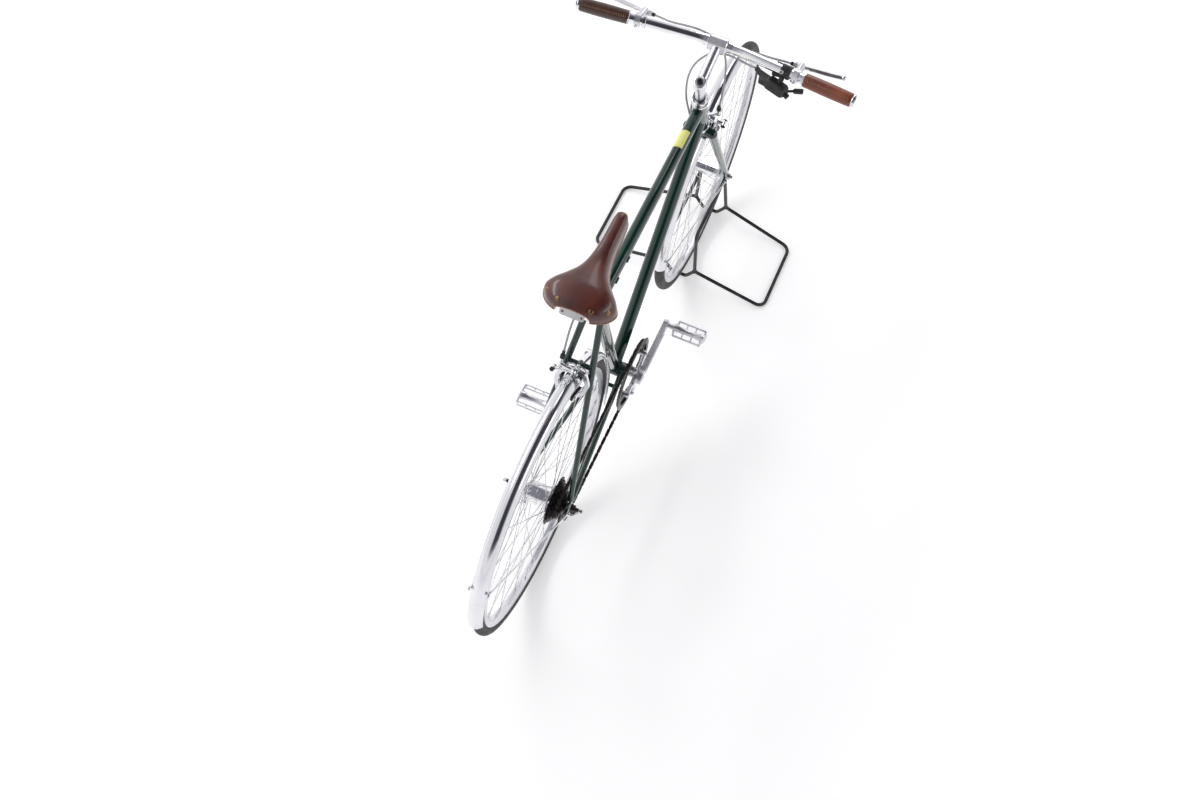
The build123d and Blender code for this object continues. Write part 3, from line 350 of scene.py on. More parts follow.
paint = make_paint()
chrome = finish("chrome_plate", ((0.80, 0.80, 0.83), (0.88, 0.88, 0.90)), (0.04, 0.08), 18.0, 500.0, 0.008,
                metallic=1.0)
polished = finish("polished_alloy", ((0.74, 0.74, 0.78), (0.83, 0.83, 0.86)), (0.12, 0.17), 16.0, 900.0,
                  0.012, metallic=1.0)
brushed = finish("brushed_alloy", ((0.70, 0.70, 0.74), (0.79, 0.79, 0.83)), (0.26, 0.34), 16.0, 900.0,
                 0.012, metallic=1.0)
satin = finish("satin_steel", ((0.58, 0.58, 0.60), (0.70, 0.70, 0.72)), (0.24, 0.38), 30.0, 1500.0, 0.05,
               metallic=1.0)
brass = finish("brass", ((0.20, 0.12, 0.065), (0.30, 0.19, 0.11)), (0.32, 0.46), 120.0, 1500.0, 0.05,
               metallic=1.0)
black = finish("satin_black", ((0.008, 0.008, 0.009), (0.017, 0.017, 0.019)), (0.28, 0.44), 25.0, 1100.0,
               0.05)
plastic = finish("black_plastic", ((0.010, 0.010, 0.011), (0.020, 0.020, 0.022)), (0.38, 0.55), 40.0,
                 1600.0, 0.10)
rubber = finish("pad_rubber", (0.012, 0.022), (0.65, 0.85), 60.0, 1800.0, 0.15)
tyre = finish("tyre_rubber", ((0.030, 0.029, 0.030), (0.058, 0.056, 0.057)), (0.60, 0.82), 26.0, 1300.0,
              0.14)
sleeve = finish("cable_sleeve", ((0.34, 0.34, 0.37), (0.44, 0.44, 0.47)), (0.28, 0.40), 60.0, 1400.0, 0.04)
stand_paint = finish("stand_black", ((0.010, 0.010, 0.011), (0.030, 0.030, 0.032)), (0.24, 0.48), 35.0,
                     800.0, 0.10)
oiled = finish("oiled_steel", ((0.018, 0.015, 0.014), (0.050, 0.041, 0.037)), (0.30, 0.50), 90.0, 1200.0,
               0.08, metallic=0.7)
sticker_film = finish("sticker_film", ((0.86, 0.85, 0.24), (0.93, 0.92, 0.32)), (0.30, 0.42), 60.0, 300.0,
                      0.06)
tan_edge = finish("cut_leather_edge", ((0.30, 0.15, 0.08), (0.44, 0.25, 0.15)), (0.55, 0.75), 150.0,
                  1500.0, 0.15)
thread = finish("waxed_thread", ((0.36, 0.19, 0.11), (0.50, 0.29, 0.18)), (0.5, 0.7), 200.0, 2500.0, 0.2)
saddle_leather = make_leather("saddle_leather", (0.068, 0.015, 0.011), (0.098, 0.020, 0.014),
                              (0.140, 0.027, 0.018), 0.45)
grip_leather = make_leather("grip_leather", (0.120, 0.029, 0.013), (0.220, 0.052, 0.022),
                            (0.320, 0.082, 0.032), 0.30)
dark_grip_leather = make_leather("dark_grip_leather", (0.036, 0.014, 0.011), (0.060, 0.022, 0.016),
                                 (0.085, 0.030, 0.021), 0.30)

CAD_FINISHES = (
    (paint, ("head_tube", "top_tube", "down_tube", "seat_tube", "bottom_bracket_shell", "chainstays",
             "seatstays", "fork", "seat_clamp")),
    (chrome, ("headset", "headset_locknut", "handlebar", "bar_end_caps", "saddle_rails",
              "front_mudguard_stays", "rear_mudguard_stays", "front_hub", "rear_hub")),
    (polished, ("front_brake", "rear_brake", "front_mudguard", "rear_mudguard")),
    (brushed, ("stem", "brake_lever_left", "brake_lever_right", "front_rim", "rear_rim", "crank_left",
               "crank_right", "pedal_left", "pedal_right", "seatpost")),
    (satin, ("front_spokes", "rear_spokes", "front_axle", "crank_spindle")),
    (plastic, ("gear_shifter",)),
    (rubber, ("front_brake_pads", "rear_brake_pads")),
    (black, ("chain_guard_ring", "rear_derailleur")),
    (oiled, ("chainring", "cassette", "chain", "rear_axle")),
    (tyre, ("front_tyre", "rear_tyre")),
    (stand_paint, ("stand_loop_left", "stand_loop_right", "stand_crossbars")),
)
for coat, names in CAD_FINISHES:
    for name in names:
        for material_slot in nodes[name].material_slots:
            material_slot.material = coat


# ---------------------------------------------------------------- mesh helpers
SHARP_ANGLE = math.radians(38)


def piece(name, bm, coat, body, flat=False):
    """Turns a bmesh into a piece with its finish and body; sharp edges stay crisp."""
    bmesh.ops.recalc_face_normals(bm, faces=bm.faces)
    return open_piece(name, bm, coat, body, flat)


def open_piece(name, bm, coat, body, flat=False):
    for edge in bm.edges:
        edge.smooth = edge.calc_face_angle(0.0) < SHARP_ANGLE
    for face in bm.faces:
        face.smooth = not flat
    mesh = bpy.data.meshes.new(name)
    bm.to_mesh(mesh)
    bm.free()
    obj = add_object(name, mesh)
    mesh.materials.append(coat)
    if body is not None:
        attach(obj, body)
    return obj


def thicken(obj, thickness, offset):
    """Gives an open piece its thickness in millimetres, -1 for all of it inwards and 0 for half."""
    modifier = obj.modifiers.new("thickness", "SOLIDIFY")
    modifier.thickness = thickness * MM
    modifier.offset = offset


def lathe(bm, place, outline, segments=24, closed=False):
    """Turns an outline of (radius, height) about the place's Z axis. Radius 0 is a point, and a
    closed outline joins its last ring to its first."""
    rings = []
    for radius, height in outline:
        if radius == 0:
            rings.append([bm.verts.new(place @ Vector((0, 0, height)))])
            continue
        ring = []
        for index in range(segments):
            angle = 2 * math.pi * index / segments
            ring.append(bm.verts.new(place @ Vector((radius * math.cos(angle), radius * math.sin(angle),
                                                     height))))
        rings.append(ring)
    pairs = list(zip(rings, rings[1:]))
    if closed:
        pairs.append((rings[-1], rings[0]))
    for low, high in pairs:
        for index in range(segments):
            after = (index + 1) % segments
            corners = []
            for corner in (low[index % len(low)], low[after % len(low)], high[after % len(high)],
                           high[index % len(high)]):
                if corner not in corners:
                    corners.append(corner)
            bm.faces.new(corners)


def layer(bm, place, outline, height):
    """The vertices of a flat outline of (x, y) points at a height along the place's Z axis."""
    return [bm.verts.new(place @ Vector((x, y, height))) for x, y in outline]


def sheet(bm, grid):
    """Faces between the rows and columns of a grid of vertices."""
    for near, far in zip(grid, grid[1:]):
        for column in range(len(near) - 1):
            bm.faces.new((near[column], far[column], far[column + 1], near[column + 1]))


def hull(bm, rings):
    """Faces from each ring of vertices to the next, and a lid on the first and the last."""
    for low, high in zip(rings, rings[1:]):
        for index in range(len(low)):
            after = (index + 1) % len(low)
            bm.faces.new((low[index], low[after], high[after], high[index]))
    bm.faces.new(rings[0][::-1])
    bm.faces.new(rings[-1])


def prism(bm, place, outline, low, high):
    """A flat outline of (x, y) points carried along the place's Z axis."""
    hull(bm, [layer(bm, place, outline, low), layer(bm, place, outline, high)])


def rounded(width, depth, corner, steps=4):
    """The outline of a rectangle with round corners, centred on the origin."""
    points = []
    for quarter in range(4):
        centre_x = (width / 2 - corner) * (1 if quarter in (0, 3) else -1)
        centre_y = (depth / 2 - corner) * (1 if quarter in (0, 1) else -1)
        for step in range(steps + 1):
            angle = math.pi / 2 * (quarter + step / steps)
            points.append((centre_x + corner * math.cos(angle), centre_y + corner * math.sin(angle)))
    return points


def block(bm, place, width, depth, height, corner, edge=1.0):
    """A rectangular block with round corners and eased top and bottom edges."""
    rings = []
    for level, inset in ((-height / 2, edge), (-height / 2 + edge, 0), (height / 2 - edge, 0),
                         (height / 2, edge)):
        outline = rounded(width - 2 * inset, depth - 2 * inset, max(corner - inset, 0.3))
        rings.append(layer(bm, place, outline, level))
    hull(bm, rings)


def pipe(bm, path, radius, sides=10, closed=False):
    """A round tube along points of the row frame, its radius in metres."""
    count = len(path)
    normal = None
    rings = []
    for index, point in enumerate(path):
        before = path[index - 1] if index > 0 or closed else path[index]
        after = path[(index + 1) % count] if index < count - 1 or closed else path[index]
        along = (Vector(after) - Vector(before)).normalized()
        if normal is None:
            normal = along.orthogonal().normalized()
        normal = (normal - along * normal.dot(along)).normalized()
        across = along.cross(normal)
        ring = []
        for side in range(sides):
            angle = 2 * math.pi * side / sides
            offset = normal * math.cos(angle) + across * math.sin(angle)
            ring.append(bm.verts.new(Vector(point) + offset * radius))
        rings.append(ring)
    pairs = list(zip(rings, rings[1:]))
    if closed:
        pairs.append((rings[-1], rings[0]))
    for first, second in pairs:
        shift = 0
        if closed and first is rings[-1]:
            gaps = [(first[0].co - second[s].co).length for s in range(sides)]
            shift = gaps.index(min(gaps))
        for side in range(sides):
            after = (side + 1) % sides
            bm.faces.new((first[side], first[after], second[(after + shift) % sides],
                          second[(side + shift) % sides]))
    if not closed:
        bm.faces.new(rings[0][::-1])
        bm.faces.new(rings[-1])


def bolt(bm, point, direction, radius, height, kind="hex"):
    """A bolt head or nut that stands on a point: hex, socket, dome or a plain round washer."""
    place = spot(point, direction)
    if kind == "hex":
        lathe(bm, place, ((0, height), (radius * 0.86, height), (radius, height * 0.8), (radius, 0),
                          (0, 0)), 6)
        lathe(bm, place, ((radius * 1.15, 0), (radius * 1.15, 0.9), (radius * 0.9, 0.95)), 20)
    elif kind == "socket":
        lathe(bm, place, ((0, height * 0.35), (radius * 0.5, height * 0.35), (radius * 0.5, height),
                          (radius * 0.85, height), (radius, height * 0.8), (radius, 0), (0, 0)), 24)
    elif kind == "dome":
        lathe(bm, place, ((0, height), (radius * 0.4, height * 0.94), (radius * 0.75, height * 0.72),
                          (radius, height * 0.25), (radius, 0), (0, 0)), 24)
    else:
        lathe(bm, place, ((0, height), (radius * 0.92, height), (radius, height * 0.7), (radius, 0),
                          (0, 0)), 24)


def knurl(bm, place, crest, valley, length, ribs, bore):
    """A ribbed ring along the place's Z axis, its ribs between a valley and a crest radius."""
    outline = []
    hole = []
    for rib in range(ribs * 2):
        angle = math.pi * rib / ribs
        reach = crest if rib % 2 == 0 else valley
        outline.append((reach * math.cos(angle), reach * math.sin(angle)))
        hole.append((bore * math.cos(angle), bore * math.sin(angle)))
    ring_plate(bm, place, outline, hole, 0, length)


def knurled(bm, point, direction, radius, length, ribs=18, bore=2.6):
    """A ribbed adjuster round a cable, from a point along a direction."""
    knurl(bm, spot(point, direction), radius, radius * 0.88, length, ribs, bore)


def ring_plate(bm, place, outer, inner, low, high):
    """A plate between an outer and an inner outline that have the same number of points."""
    layers = [layer(bm, place, outer, low), layer(bm, place, outer, high), layer(bm, place, inner, high),
              layer(bm, place, inner, low)]
    for index in range(4):
        first = layers[index]
        second = layers[(index + 1) % 4]
        for point in range(len(outer)):
            after = (point + 1) % len(outer)
            bm.faces.new((first[point], first[after], second[after], second[point]))


# ---------------------------------------------------------------- cords
def spline_object(name, route, radius=0.0):
    """An open NURBS spline whose control points are the route's points."""
    curve = bpy.data.curves.new(name, "CURVE")
    curve.dimensions = "3D"
    curve.resolution_u = 10
    curve.bevel_depth = radius
    curve.bevel_resolution = 4
    curve.use_fill_caps = True
    spline = curve.splines.new("NURBS")
    spline.points.add(len(route) - 1)
    for control, point in zip(spline.points, route):
        control.co = (*at(point), 1.0)
    spline.order_u = 3
    spline.use_endpoint_u = True
    return add_object(name, curve)


def held_cord(name, route, node, body):
    """A cable that the object holds from end to end and that one body carries."""
    cable = spline_object(name, route, CABLE_DIAMETER / 2 * MM)
    cable.data.materials.append(sleeve)
    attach(cable, body)
    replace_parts(cable, node)


def steered_cord(name, route, node):
    """A cable between the bar and the frame, drawn as a fixed tube along its route and carried by no body."""
    guide = spline_object(name + "_guide", route)
    line = bpy.data.meshes.new_from_object(guide)
    path = [vertex.co.copy() for vertex in line.vertices]
    bpy.data.objects.remove(guide)
    bm = bmesh.new()
    pipe(bm, path, CABLE_DIAMETER / 2 * MM, 14)
    cable = piece(name, bm, sleeve, None)
    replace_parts(cable, node)
    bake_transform(cable)


FRONT_BRAKE_ROUTE = ((949.06, 169.7, 918.29), (949.06, 153.7, 918.29), (937, 122, 927), (939, 78, 932),
                     (944, 53, 928), (951, 26, 916), (956, 2, 894), (953, -13, 868), (944, -22, 840),
                     (930, -28, 814), (913, -32, 791), (900.93, -33.5, 774.1), (899.93, -33.5, 756.1))
REAR_LOOP_ROUTE = ((949.06, -169.7, 918.29), (949.06, -153.7, 918.29), (938, -122, 925), (937, -84, 925),
                   (937, -50, 920), (942, -18, 908), (936, 6, 896), (918, 24, 885), (899, 40, 874),
                   (880, 47, 850), (864, 43, 822), (852, 35, 800), (841, 23, 784),
                   (828.72, WIRE_Y, WIRE_Z), (814.72, WIRE_Y, WIRE_Z))
GEAR_LOOP_ROUTE = ((922.11, -92.0, 896.8), (931, -70, 889), (938, -42, 888), (942, -14, 886), (939, 8, 874),
                   (928, 16, 850), (912, 19, 826), (892, 23, 804), (874, 26, 786), (866, 25, 766),
                   (863, 21.5, 742), (857.07, 19.1, 720.71), (843.11, 19.1, 706.38))
REAR_BRAKE_ROUTE = ((302.58, WIRE_Y, WIRE_Z), (290.58, WIRE_Y, WIRE_Z), (266, 30, 776), (238, 38, 756),
                    (208, 38, 728), (180.09, 33.5, 711.79), (172.88, 33.5, 699.79))

held_cord("front_brake_housing", FRONT_BRAKE_ROUTE, "front_brake_cable", "fork_and_stand")
held_cord("rear_brake_housing", REAR_BRAKE_ROUTE, "rear_brake_cable", "frame")
steered_cord("rear_brake_loop_housing", REAR_LOOP_ROUTE, "rear_brake_cable_loop")
steered_cord("gear_loop_housing", GEAR_LOOP_ROUTE, "gear_cable_loop")


# ---------------------------------------------------------------- lights and floor
SKY_STRENGTH = 0.95
CEILING_SHIFT = 0.22
SKY = ((0.32, (0.05, 0.05, 0.06)), (0.46, (0.42, 0.42, 0.48)), (0.56, 0.95), (0.72, 0.95),
       (0.79, (0.55, 0.55, 0.62)), (0.86, 0.95))
AHEAD_START = 0.55
AHEAD_GAIN = 0.9
WALLS = ((0.16, 0.98), (0.34, 0.0))
FLOOR_GLOW = 0.36
FLOOR_HALF = 14
LIGHT_TARGET = (0, 0, 0.5)
LIGHTS = (("left_strip", (0.2, 3.2, 3.4), 4.0, 0.7, 62), ("right_strip", (0.4, -3.4, 3.0), 4.0, 0.5, 26),
          ("front_strip", (3.4, 0.4, 3.0), 0.6, 3.0, 16))


def make_floor():
    """A pale sheet under the bicycle, wide enough to fill every view."""
    mesh = bpy.data.meshes.new("floor")
    corners = [(x * FLOOR_HALF, y * FLOOR_HALF, 0) for x, y in ((-1, -1), (1, -1), (1, 1), (-1, 1))]
    mesh.from_pydata(corners, [], [(0, 1, 2, 3)])
    floor = add_object("floor", mesh)
    coat = finish("floor_paper", (0.93, 0.95), (0.75, 0.85), 0.6, 60.0, 0.01, specular=0.15)
    shader = coat.node_tree.nodes["Principled BSDF"]
    shader.inputs["Emission Color"].default_value = (1.0, 1.0, 1.0, 1.0)
    shader.inputs["Emission Strength"].default_value = FLOOR_GLOW
    mesh.materials.append(coat)


def area_light(name, place, width, height, power):
    """A rectangle of light that faces the bicycle."""
    light = bpy.data.lights.new(name, "AREA")
    light.shape = "RECTANGLE"
    light.size = width
    light.size_y = height
    light.energy = power
    direction = Vector(LIGHT_TARGET) - Vector(place)
    turn = direction.to_track_quat("-Z", "Y").to_matrix().to_4x4()
    add_object(name, light).matrix_world = Matrix.Translation(place) @ turn


def make_lights():
    """A bright studio: pale walls all round, pale sides with a grey band on each, and a dim ceiling
    that lies a little to the right."""
    world = bpy.data.worlds.new("studio")
    bpy.context.scene.world = world
    world.use_nodes = True
    tree = world.node_tree
    background = tree.nodes["Background"]
    place = tree.nodes.new("ShaderNodeTexCoord")
    parts = tree.nodes.new("ShaderNodeSeparateXYZ")
    tree.links.new(place.outputs["Generated"], parts.inputs["Vector"])

    def math_node(operation, first, second):
        node = tree.nodes.new("ShaderNodeMath")
        node.operation = operation
        for socket, value in zip(node.inputs, (first, second)):
            if isinstance(value, float):
                socket.default_value = value
            elif value is not None:
                tree.links.new(value, socket)
        return node.outputs["Value"]

    sideways = math_node("ABSOLUTE", math_node("ADD", parts.outputs["Y"], CEILING_SHIFT), None)
    beyond = math_node("MAXIMUM", math_node("SUBTRACT", parts.outputs["X"], AHEAD_START), 0.0)
    ahead = math_node("MULTIPLY", beyond, AHEAD_GAIN)
    sky = ramp(tree, math_node("ADD", sideways, ahead), SKY)
    walls = ramp(tree, parts.outputs["Z"], WALLS)
    tree.links.new(mixed(tree, "LIGHTEN", 1.0, sky, walls), background.inputs["Color"])
    background.inputs["Strength"].default_value = SKY_STRENGTH
    for light in LIGHTS:
        area_light(*light)
    bpy.context.scene.view_settings.view_transform = "Standard"


make_floor()
make_lights()


# ---------------------------------------------------------------- saddle
def between(rows, share):
    """A smooth passage through rows of numbers, for a share from 0 to 1 along them."""
    last = len(rows) - 1
    index = min(int(share * last), last - 1)
    t = share * last - index
    p0 = rows[max(index - 1, 0)]
    p1 = rows[index]
    p2 = rows[index + 1]
    p3 = rows[min(index + 2, last)]
    values = []
    for a, b, c, d in zip(p0, p1, p2, p3):
        values.append(0.5 * (2 * b + (c - a) * t + (2 * a - 5 * b + 4 * c - d) * t * t
                             + (3 * b - 3 * c + d - a) * t ** 3))
    return values


def saddle_point(share, across, inset=0.0):
    """A point of the saddle's top: share from rear to nose, across from -1 to 1, drawn in by an inset."""
    ahead, half, top, depth = between(SADDLE_STATIONS, share)
    half -= inset
    high = SADDLE_HEIGHT - top - inset
    low = SADDLE_HEIGHT - top - depth
    rise = high - low
    arch = ((half, low), (half * 0.93, low + rise * 0.55), (half * 0.62, high - rise * 0.1), (0, high),
            (-half * 0.62, high - rise * 0.1), (-half * 0.93, low + rise * 0.55), (-half, low))
    y, z = between(arch, (1 - across) / 2)
    return Vector((SADDLE_REAR_X + ahead, y, z))


def make_saddle():
    rows = 56
    columns = 40
    bm = bmesh.new()
    grid = []
    for row in range(rows + 1):
        line = []
        for column in range(columns + 1):
            line.append(bm.verts.new(at(saddle_point(row / rows, 2 * column / columns - 1))))
        grid.append(line)
    sheet(bm, grid)
    rim = [grid[row][0].co.copy() for row in range(rows + 1)]
    rim += [grid[rows][column].co.copy() for column in range(1, columns + 1)]
    rim += [grid[row][columns].co.copy() for row in range(rows - 1, -1, -1)]
    rim += [grid[0][column].co.copy() for column in range(columns - 1, 0, -1)]
    bm.normal_update()
    if grid[rows // 2][columns // 2].normal.z < 0:
        bmesh.ops.reverse_faces(bm, faces=bm.faces)
    top = open_piece("saddle_top", bm, saddle_leather, "frame")
    thicken(top, LEATHER_THICKNESS, -1)
    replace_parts(top, "saddle_leather")
    bm = bmesh.new()
    pipe(bm, rim, 1.0 * MM, 8, closed=True)
    piece("saddle_cut_edge", bm, tan_edge, "frame")


def saddle_normal(share, across):
    here = saddle_point(share, across)
    along = saddle_point(min(share + 0.01, 1), across) - here
    sideways = saddle_point(share, across + 0.02) - here
    normal = along.cross(sideways)
    if normal.z < 0:
        normal = -normal
    return normal.normalized()


def make_saddle_metal():
    """Rivets along the rear and at the nose, a blank plate on the cantle, and the clamp's nuts."""
    bm = bmesh.new()
    for share, across in SADDLE_RIVETS:
        normal = saddle_normal(share, across)
        bolt(bm, saddle_point(share, across) - normal * 0.8, normal, 5.2, 1.7, "dome")
    piece("saddle_rivets", bm, brass, "frame")
    back = Vector((-0.8, 0, 0.6))
    centre = Vector((SADDLE_REAR_X + 1, 0, SADDLE_HEIGHT - 34))
    bm = bmesh.new()
    prism(bm, spot(centre, back), rounded(52, 15, 5), 0, 1.4)
    piece("saddle_blank_plate", bm, satin, "frame")
    bm = bmesh.new()
    for y in (-20, 20):
        bolt(bm, centre + Vector((0, y, 0)) + back * 1.3, back, 2.6, 1.4, "dome")
    piece("saddle_plate_rivets", bm, brass, "frame")
    bm = bmesh.new()
    for side in (1, -1):
        bolt(bm, (SADDLE_CLAMP_X, side * 28, 911), (0, side, 0), 7.5, 5, "hex")
    piece("saddle_clamp_nuts", bm, satin, "frame")


make_saddle()
make_saddle_metal()


# ---------------------------------------------------------------- grips
def make_grip(side, name, leather):
    """A leather sleeve, a little fuller in the middle, sewn along its rear with one seam."""
    inner = BAR_HALF_WIDTH - END_CAP - GRIP_LENGTH
    place = spot(on_bar(side, inner), bar_direction(side), (-0.7, 0, 0.7))
    bore = BAR_RADIUS + 0.2
    outline = [(bore, 0), (GRIP_RADIUS - 2.2, 0), (GRIP_RADIUS - 1.2, 0.6), (GRIP_RADIUS - 0.8, 2)]
    for step in range(1, 20):
        share = step / 20
        swell = 0.75 * math.sin(math.pi * share)
        outline.append((GRIP_RADIUS - 0.8 + swell, GRIP_LENGTH * share))
    outline += [(GRIP_RADIUS - 0.8, GRIP_LENGTH - 2), (GRIP_RADIUS - 1.2, GRIP_LENGTH - 0.6),
                (GRIP_RADIUS - 2.2, GRIP_LENGTH), (bore, GRIP_LENGTH)]
    bm = bmesh.new()
    lathe(bm, place, outline, 56, closed=True)
    for vertex in bm.verts:
        local = place.inverted() @ vertex.co
        reach = math.hypot(local.x, local.y)
        off_seam = abs(math.atan2(local.y, local.x)) * reach
        if reach > bore + 1 and off_seam < 1.8:
            local.x *= 1 - 0.5 / reach
            local.y *= 1 - 0.5 / reach
            vertex.co = place @ local
    grip = piece("grip_leather_" + name, bm, leather, "fork_and_stand")
    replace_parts(grip, "grip_" + name)
    bm = bmesh.new()
    reach = GRIP_RADIUS - 0.25
    for index in range(int((GRIP_LENGTH - 8) / STITCH_PITCH)):
        along = 5 + index * STITCH_PITCH
        ends = []
        for sideways, shift in ((-2.6, -0.8), (0, 0), (2.6, 0.8)):
            angle = sideways / reach
            lift = reach + (0.25 if sideways == 0 else 0.0)
            ends.append(place @ Vector((lift * math.cos(angle), lift * math.sin(angle), along + shift)))
        pipe(bm, ends, 0.42 * MM, 6)
    piece("grip_stitches_" + name, bm, thread, "fork_and_stand")
    bm = bmesh.new()
    lathe(bm, place, ((BAR_RADIUS, -3.5), (GRIP_RADIUS - 1, -3.5), (GRIP_RADIUS, -2.5), (GRIP_RADIUS, -0.6),
                      (BAR_RADIUS, -0.6)), 40)
    piece("grip_ring_" + name, bm, chrome, "fork_and_stand")
    cap = spot(on_bar(side, BAR_HALF_WIDTH - END_CAP), bar_direction(side))
    bm = bmesh.new()
    lathe(bm, cap, ((GRIP_RADIUS - 2, 0.6), (GRIP_RADIUS - 0.3, 0.6), (GRIP_RADIUS, 1.2),
                    (GRIP_RADIUS, 4.4), (GRIP_RADIUS - 0.3, 5.0), (GRIP_RADIUS - 2, 5.2)), 40, closed=True)
    piece("grip_end_band_" + name, bm, chrome, "fork_and_stand")


make_grip(1, "left", dark_grip_leather)
make_grip(-1, "right", grip_leather)


# ---------------------------------------------------------------- wheels
def wheel_point(centre_x, radius, y, angle):
    return Vector((centre_x + radius * math.cos(angle), y, TYRE_RADIUS + radius * math.sin(angle)))


def make_tyre(name, centre_x):
    """A tyre with herringbone grooves on its crown and fine rings on its shoulders."""
    profile = 28
    spread = math.radians(131)
    centre = TYRE_RADIUS - TYRE_SECTION
    bm = bmesh.new()
    rings = []
    for segment in range(TREAD_SEGMENTS):
        turn = 2 * math.pi * segment / TREAD_SEGMENTS
        ring = []
        for index in range(profile + 1):
            lean = spread * (2 * index / profile - 1)
            out = abs(index - profile // 2)
            radius = TYRE_SECTION
            if out in (1, 8):
                radius -= TREAD_RING_DEPTH
            elif 2 <= out <= 7 and (segment + out) % 4 == 0:
                radius -= TREAD_GROOVE_DEPTH
            ring.append(bm.verts.new(at(wheel_point(centre_x, centre + radius * math.cos(lean),
                                                    radius * math.sin(lean), turn))))
        rings.append(ring)
    for first, second in zip(rings, rings[1:] + rings[:1]):
        for index in range(profile):
            bm.faces.new((first[index], second[index], second[index + 1], first[index + 1]))
        bm.faces.new((first[profile], second[profile], second[0], first[0]))
    body = name + "_wheel"
    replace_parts(piece(name + "_tread_tyre", bm, tyre, body), name + "_tyre")


def make_nipples(name, centre_x):
    """A nipple where each spoke meets the rim and a head where it leaves the flange."""
    flange_radius, left_y, right_y = HUBS[name]
    per_side = SPOKE_COUNT // 2
    step = 2 * math.pi / per_side
    hole_radius = flange_radius - 3.5
    nipples = bmesh.new()
    heads = bmesh.new()
    for flange_y, phase in ((left_y, 0), (right_y, step / 2)):
        side = math.copysign(1, flange_y)
        for index in range(per_side):
            way = 1 if index % 2 == 0 else -1
            hub_angle = index * step + phase
            rim_angle = (index + way * SPOKE_CROSSES) * step + phase
            start = wheel_point(centre_x, hole_radius, flange_y + way * SPOKE_SIDE_SHIFT, hub_angle)
            end = wheel_point(centre_x, RIM_INNER_RADIUS, side * 2.5, rim_angle)
            inward = (start - end).normalized()
            lathe(nipples, spot(end, inward), ((0, -2), (2.5, -2), (2.5, 0.8), (1.9, 1.4), (1.9, 11),
                                               (1.2, 12.5), (0, 12.5)), 10)
            lathe(heads, spot(start - Vector((0, way * 3.2, 0)), (0, -way, 0)),
                  ((0, 1.5), (1.2, 1.2), (1.9, 0.5), (1.9, 0), (0, 0)), 8)
    piece(name + "_nipples", nipples, satin, name + "_wheel")
    piece(name + "_spoke_heads", heads, satin, name + "_wheel")


def make_valve(name, centre_x, angle):
    """A valve with its cap, that stands inwards from the rim."""
    bm = bmesh.new()
    root = wheel_point(centre_x, RIM_INNER_RADIUS, 0, angle)
    inward = wheel_point(centre_x, 0, 0, angle) - root
    lathe(bm, spot(root, inward), ((0, -3), (3.2, -3), (3.2, 26), (2.6, 27), (2.6, 34), (4.0, 35), (4.0, 40),
                                   (3.2, 41), (0, 41)), 16)
    lathe(bm, spot(root, inward), ((3.2, 0), (6.2, 0), (6.2, 2.6), (3.2, 2.8)), 6)
    piece(name + "_valve", bm, satin, name + "_wheel")


def make_hub_trim(name, centre_x):
    """Rings round the edges of the flanges, and an oil clip round the barrel."""
    bm = bmesh.new()
    flange_radius, left_y, right_y = HUBS[name]
    barrel = HUB_BARRELS[name]
    middle_y = (left_y + right_y) / 2
    lathe(bm, spot((centre_x, middle_y, TYRE_RADIUS), (0, 1, 0)),
          ((barrel, -4), (barrel + 0.8, -3.5), (barrel + 0.8, 3.5), (barrel, 4)), 36)
    for y, facing in ((left_y, 1), (right_y, -1)):
        place = spot((centre_x, y, TYRE_RADIUS), (0, facing, 0))
        lathe(bm, place, ((flange_radius - 1.4, 1.2), (flange_radius + 0.1, 1.2), (flange_radius + 0.3, 0),
                          (flange_radius + 0.1, -1.2), (flange_radius - 1.4, -1.2)), 48, closed=True)
    piece(name + "_hub_trim", bm, polished, name + "_wheel")


for wheel, x, valve_angle in (("front", WHEELBASE, 2.1), ("rear", 0.0, 0.9)):
    make_tyre(wheel, x)
    make_nipples(wheel, x)
    make_valve(wheel, x, valve_angle)
    make_hub_trim(wheel, x)


# ---------------------------------------------------------------- mudguards
def make_guard_trim(name, body):
    """Rolled beads along both edges, and the bolts that hold the stays."""
    centre_x, low, high, stay = GUARDS[name]
    steps = 90
    bm = bmesh.new()
    for side in (1, -1):
        path = []
        for step in range(steps + 1):
            angle = math.radians(low + (high - low) * step / steps)
            path.append(at(wheel_point(centre_x, GUARD_RADIUS - GUARD_DEPTH, side * (GUARD_WIDTH / 2 - 0.7),
                                       angle)))
        pipe(bm, path, BEAD_RADIUS * MM, 10)
    piece(name + "_guard_beads", bm, polished, body)
    bm = bmesh.new()
    stay_angle = math.radians(stay)
    for side in (1, -1):
        tip = wheel_point(centre_x, GUARD_RADIUS - GUARD_DEPTH + 4, side * (GUARD_WIDTH / 2 + 1), stay_angle)
        outward = Vector((0, side, 0))
        bolt(bm, tip + outward * 2.5, outward, 4.2, 3.2, "hex")
    piece(name + "_guard_stay_bolts", bm, satin, body)


make_guard_trim("rear", "frame")
make_guard_trim("front", "fork_and_stand")


# ---------------------------------------------------------------- chain and sprockets
def pitch_radius(teeth):
    return CHAIN_PITCH / (2 * math.sin(math.pi / teeth))


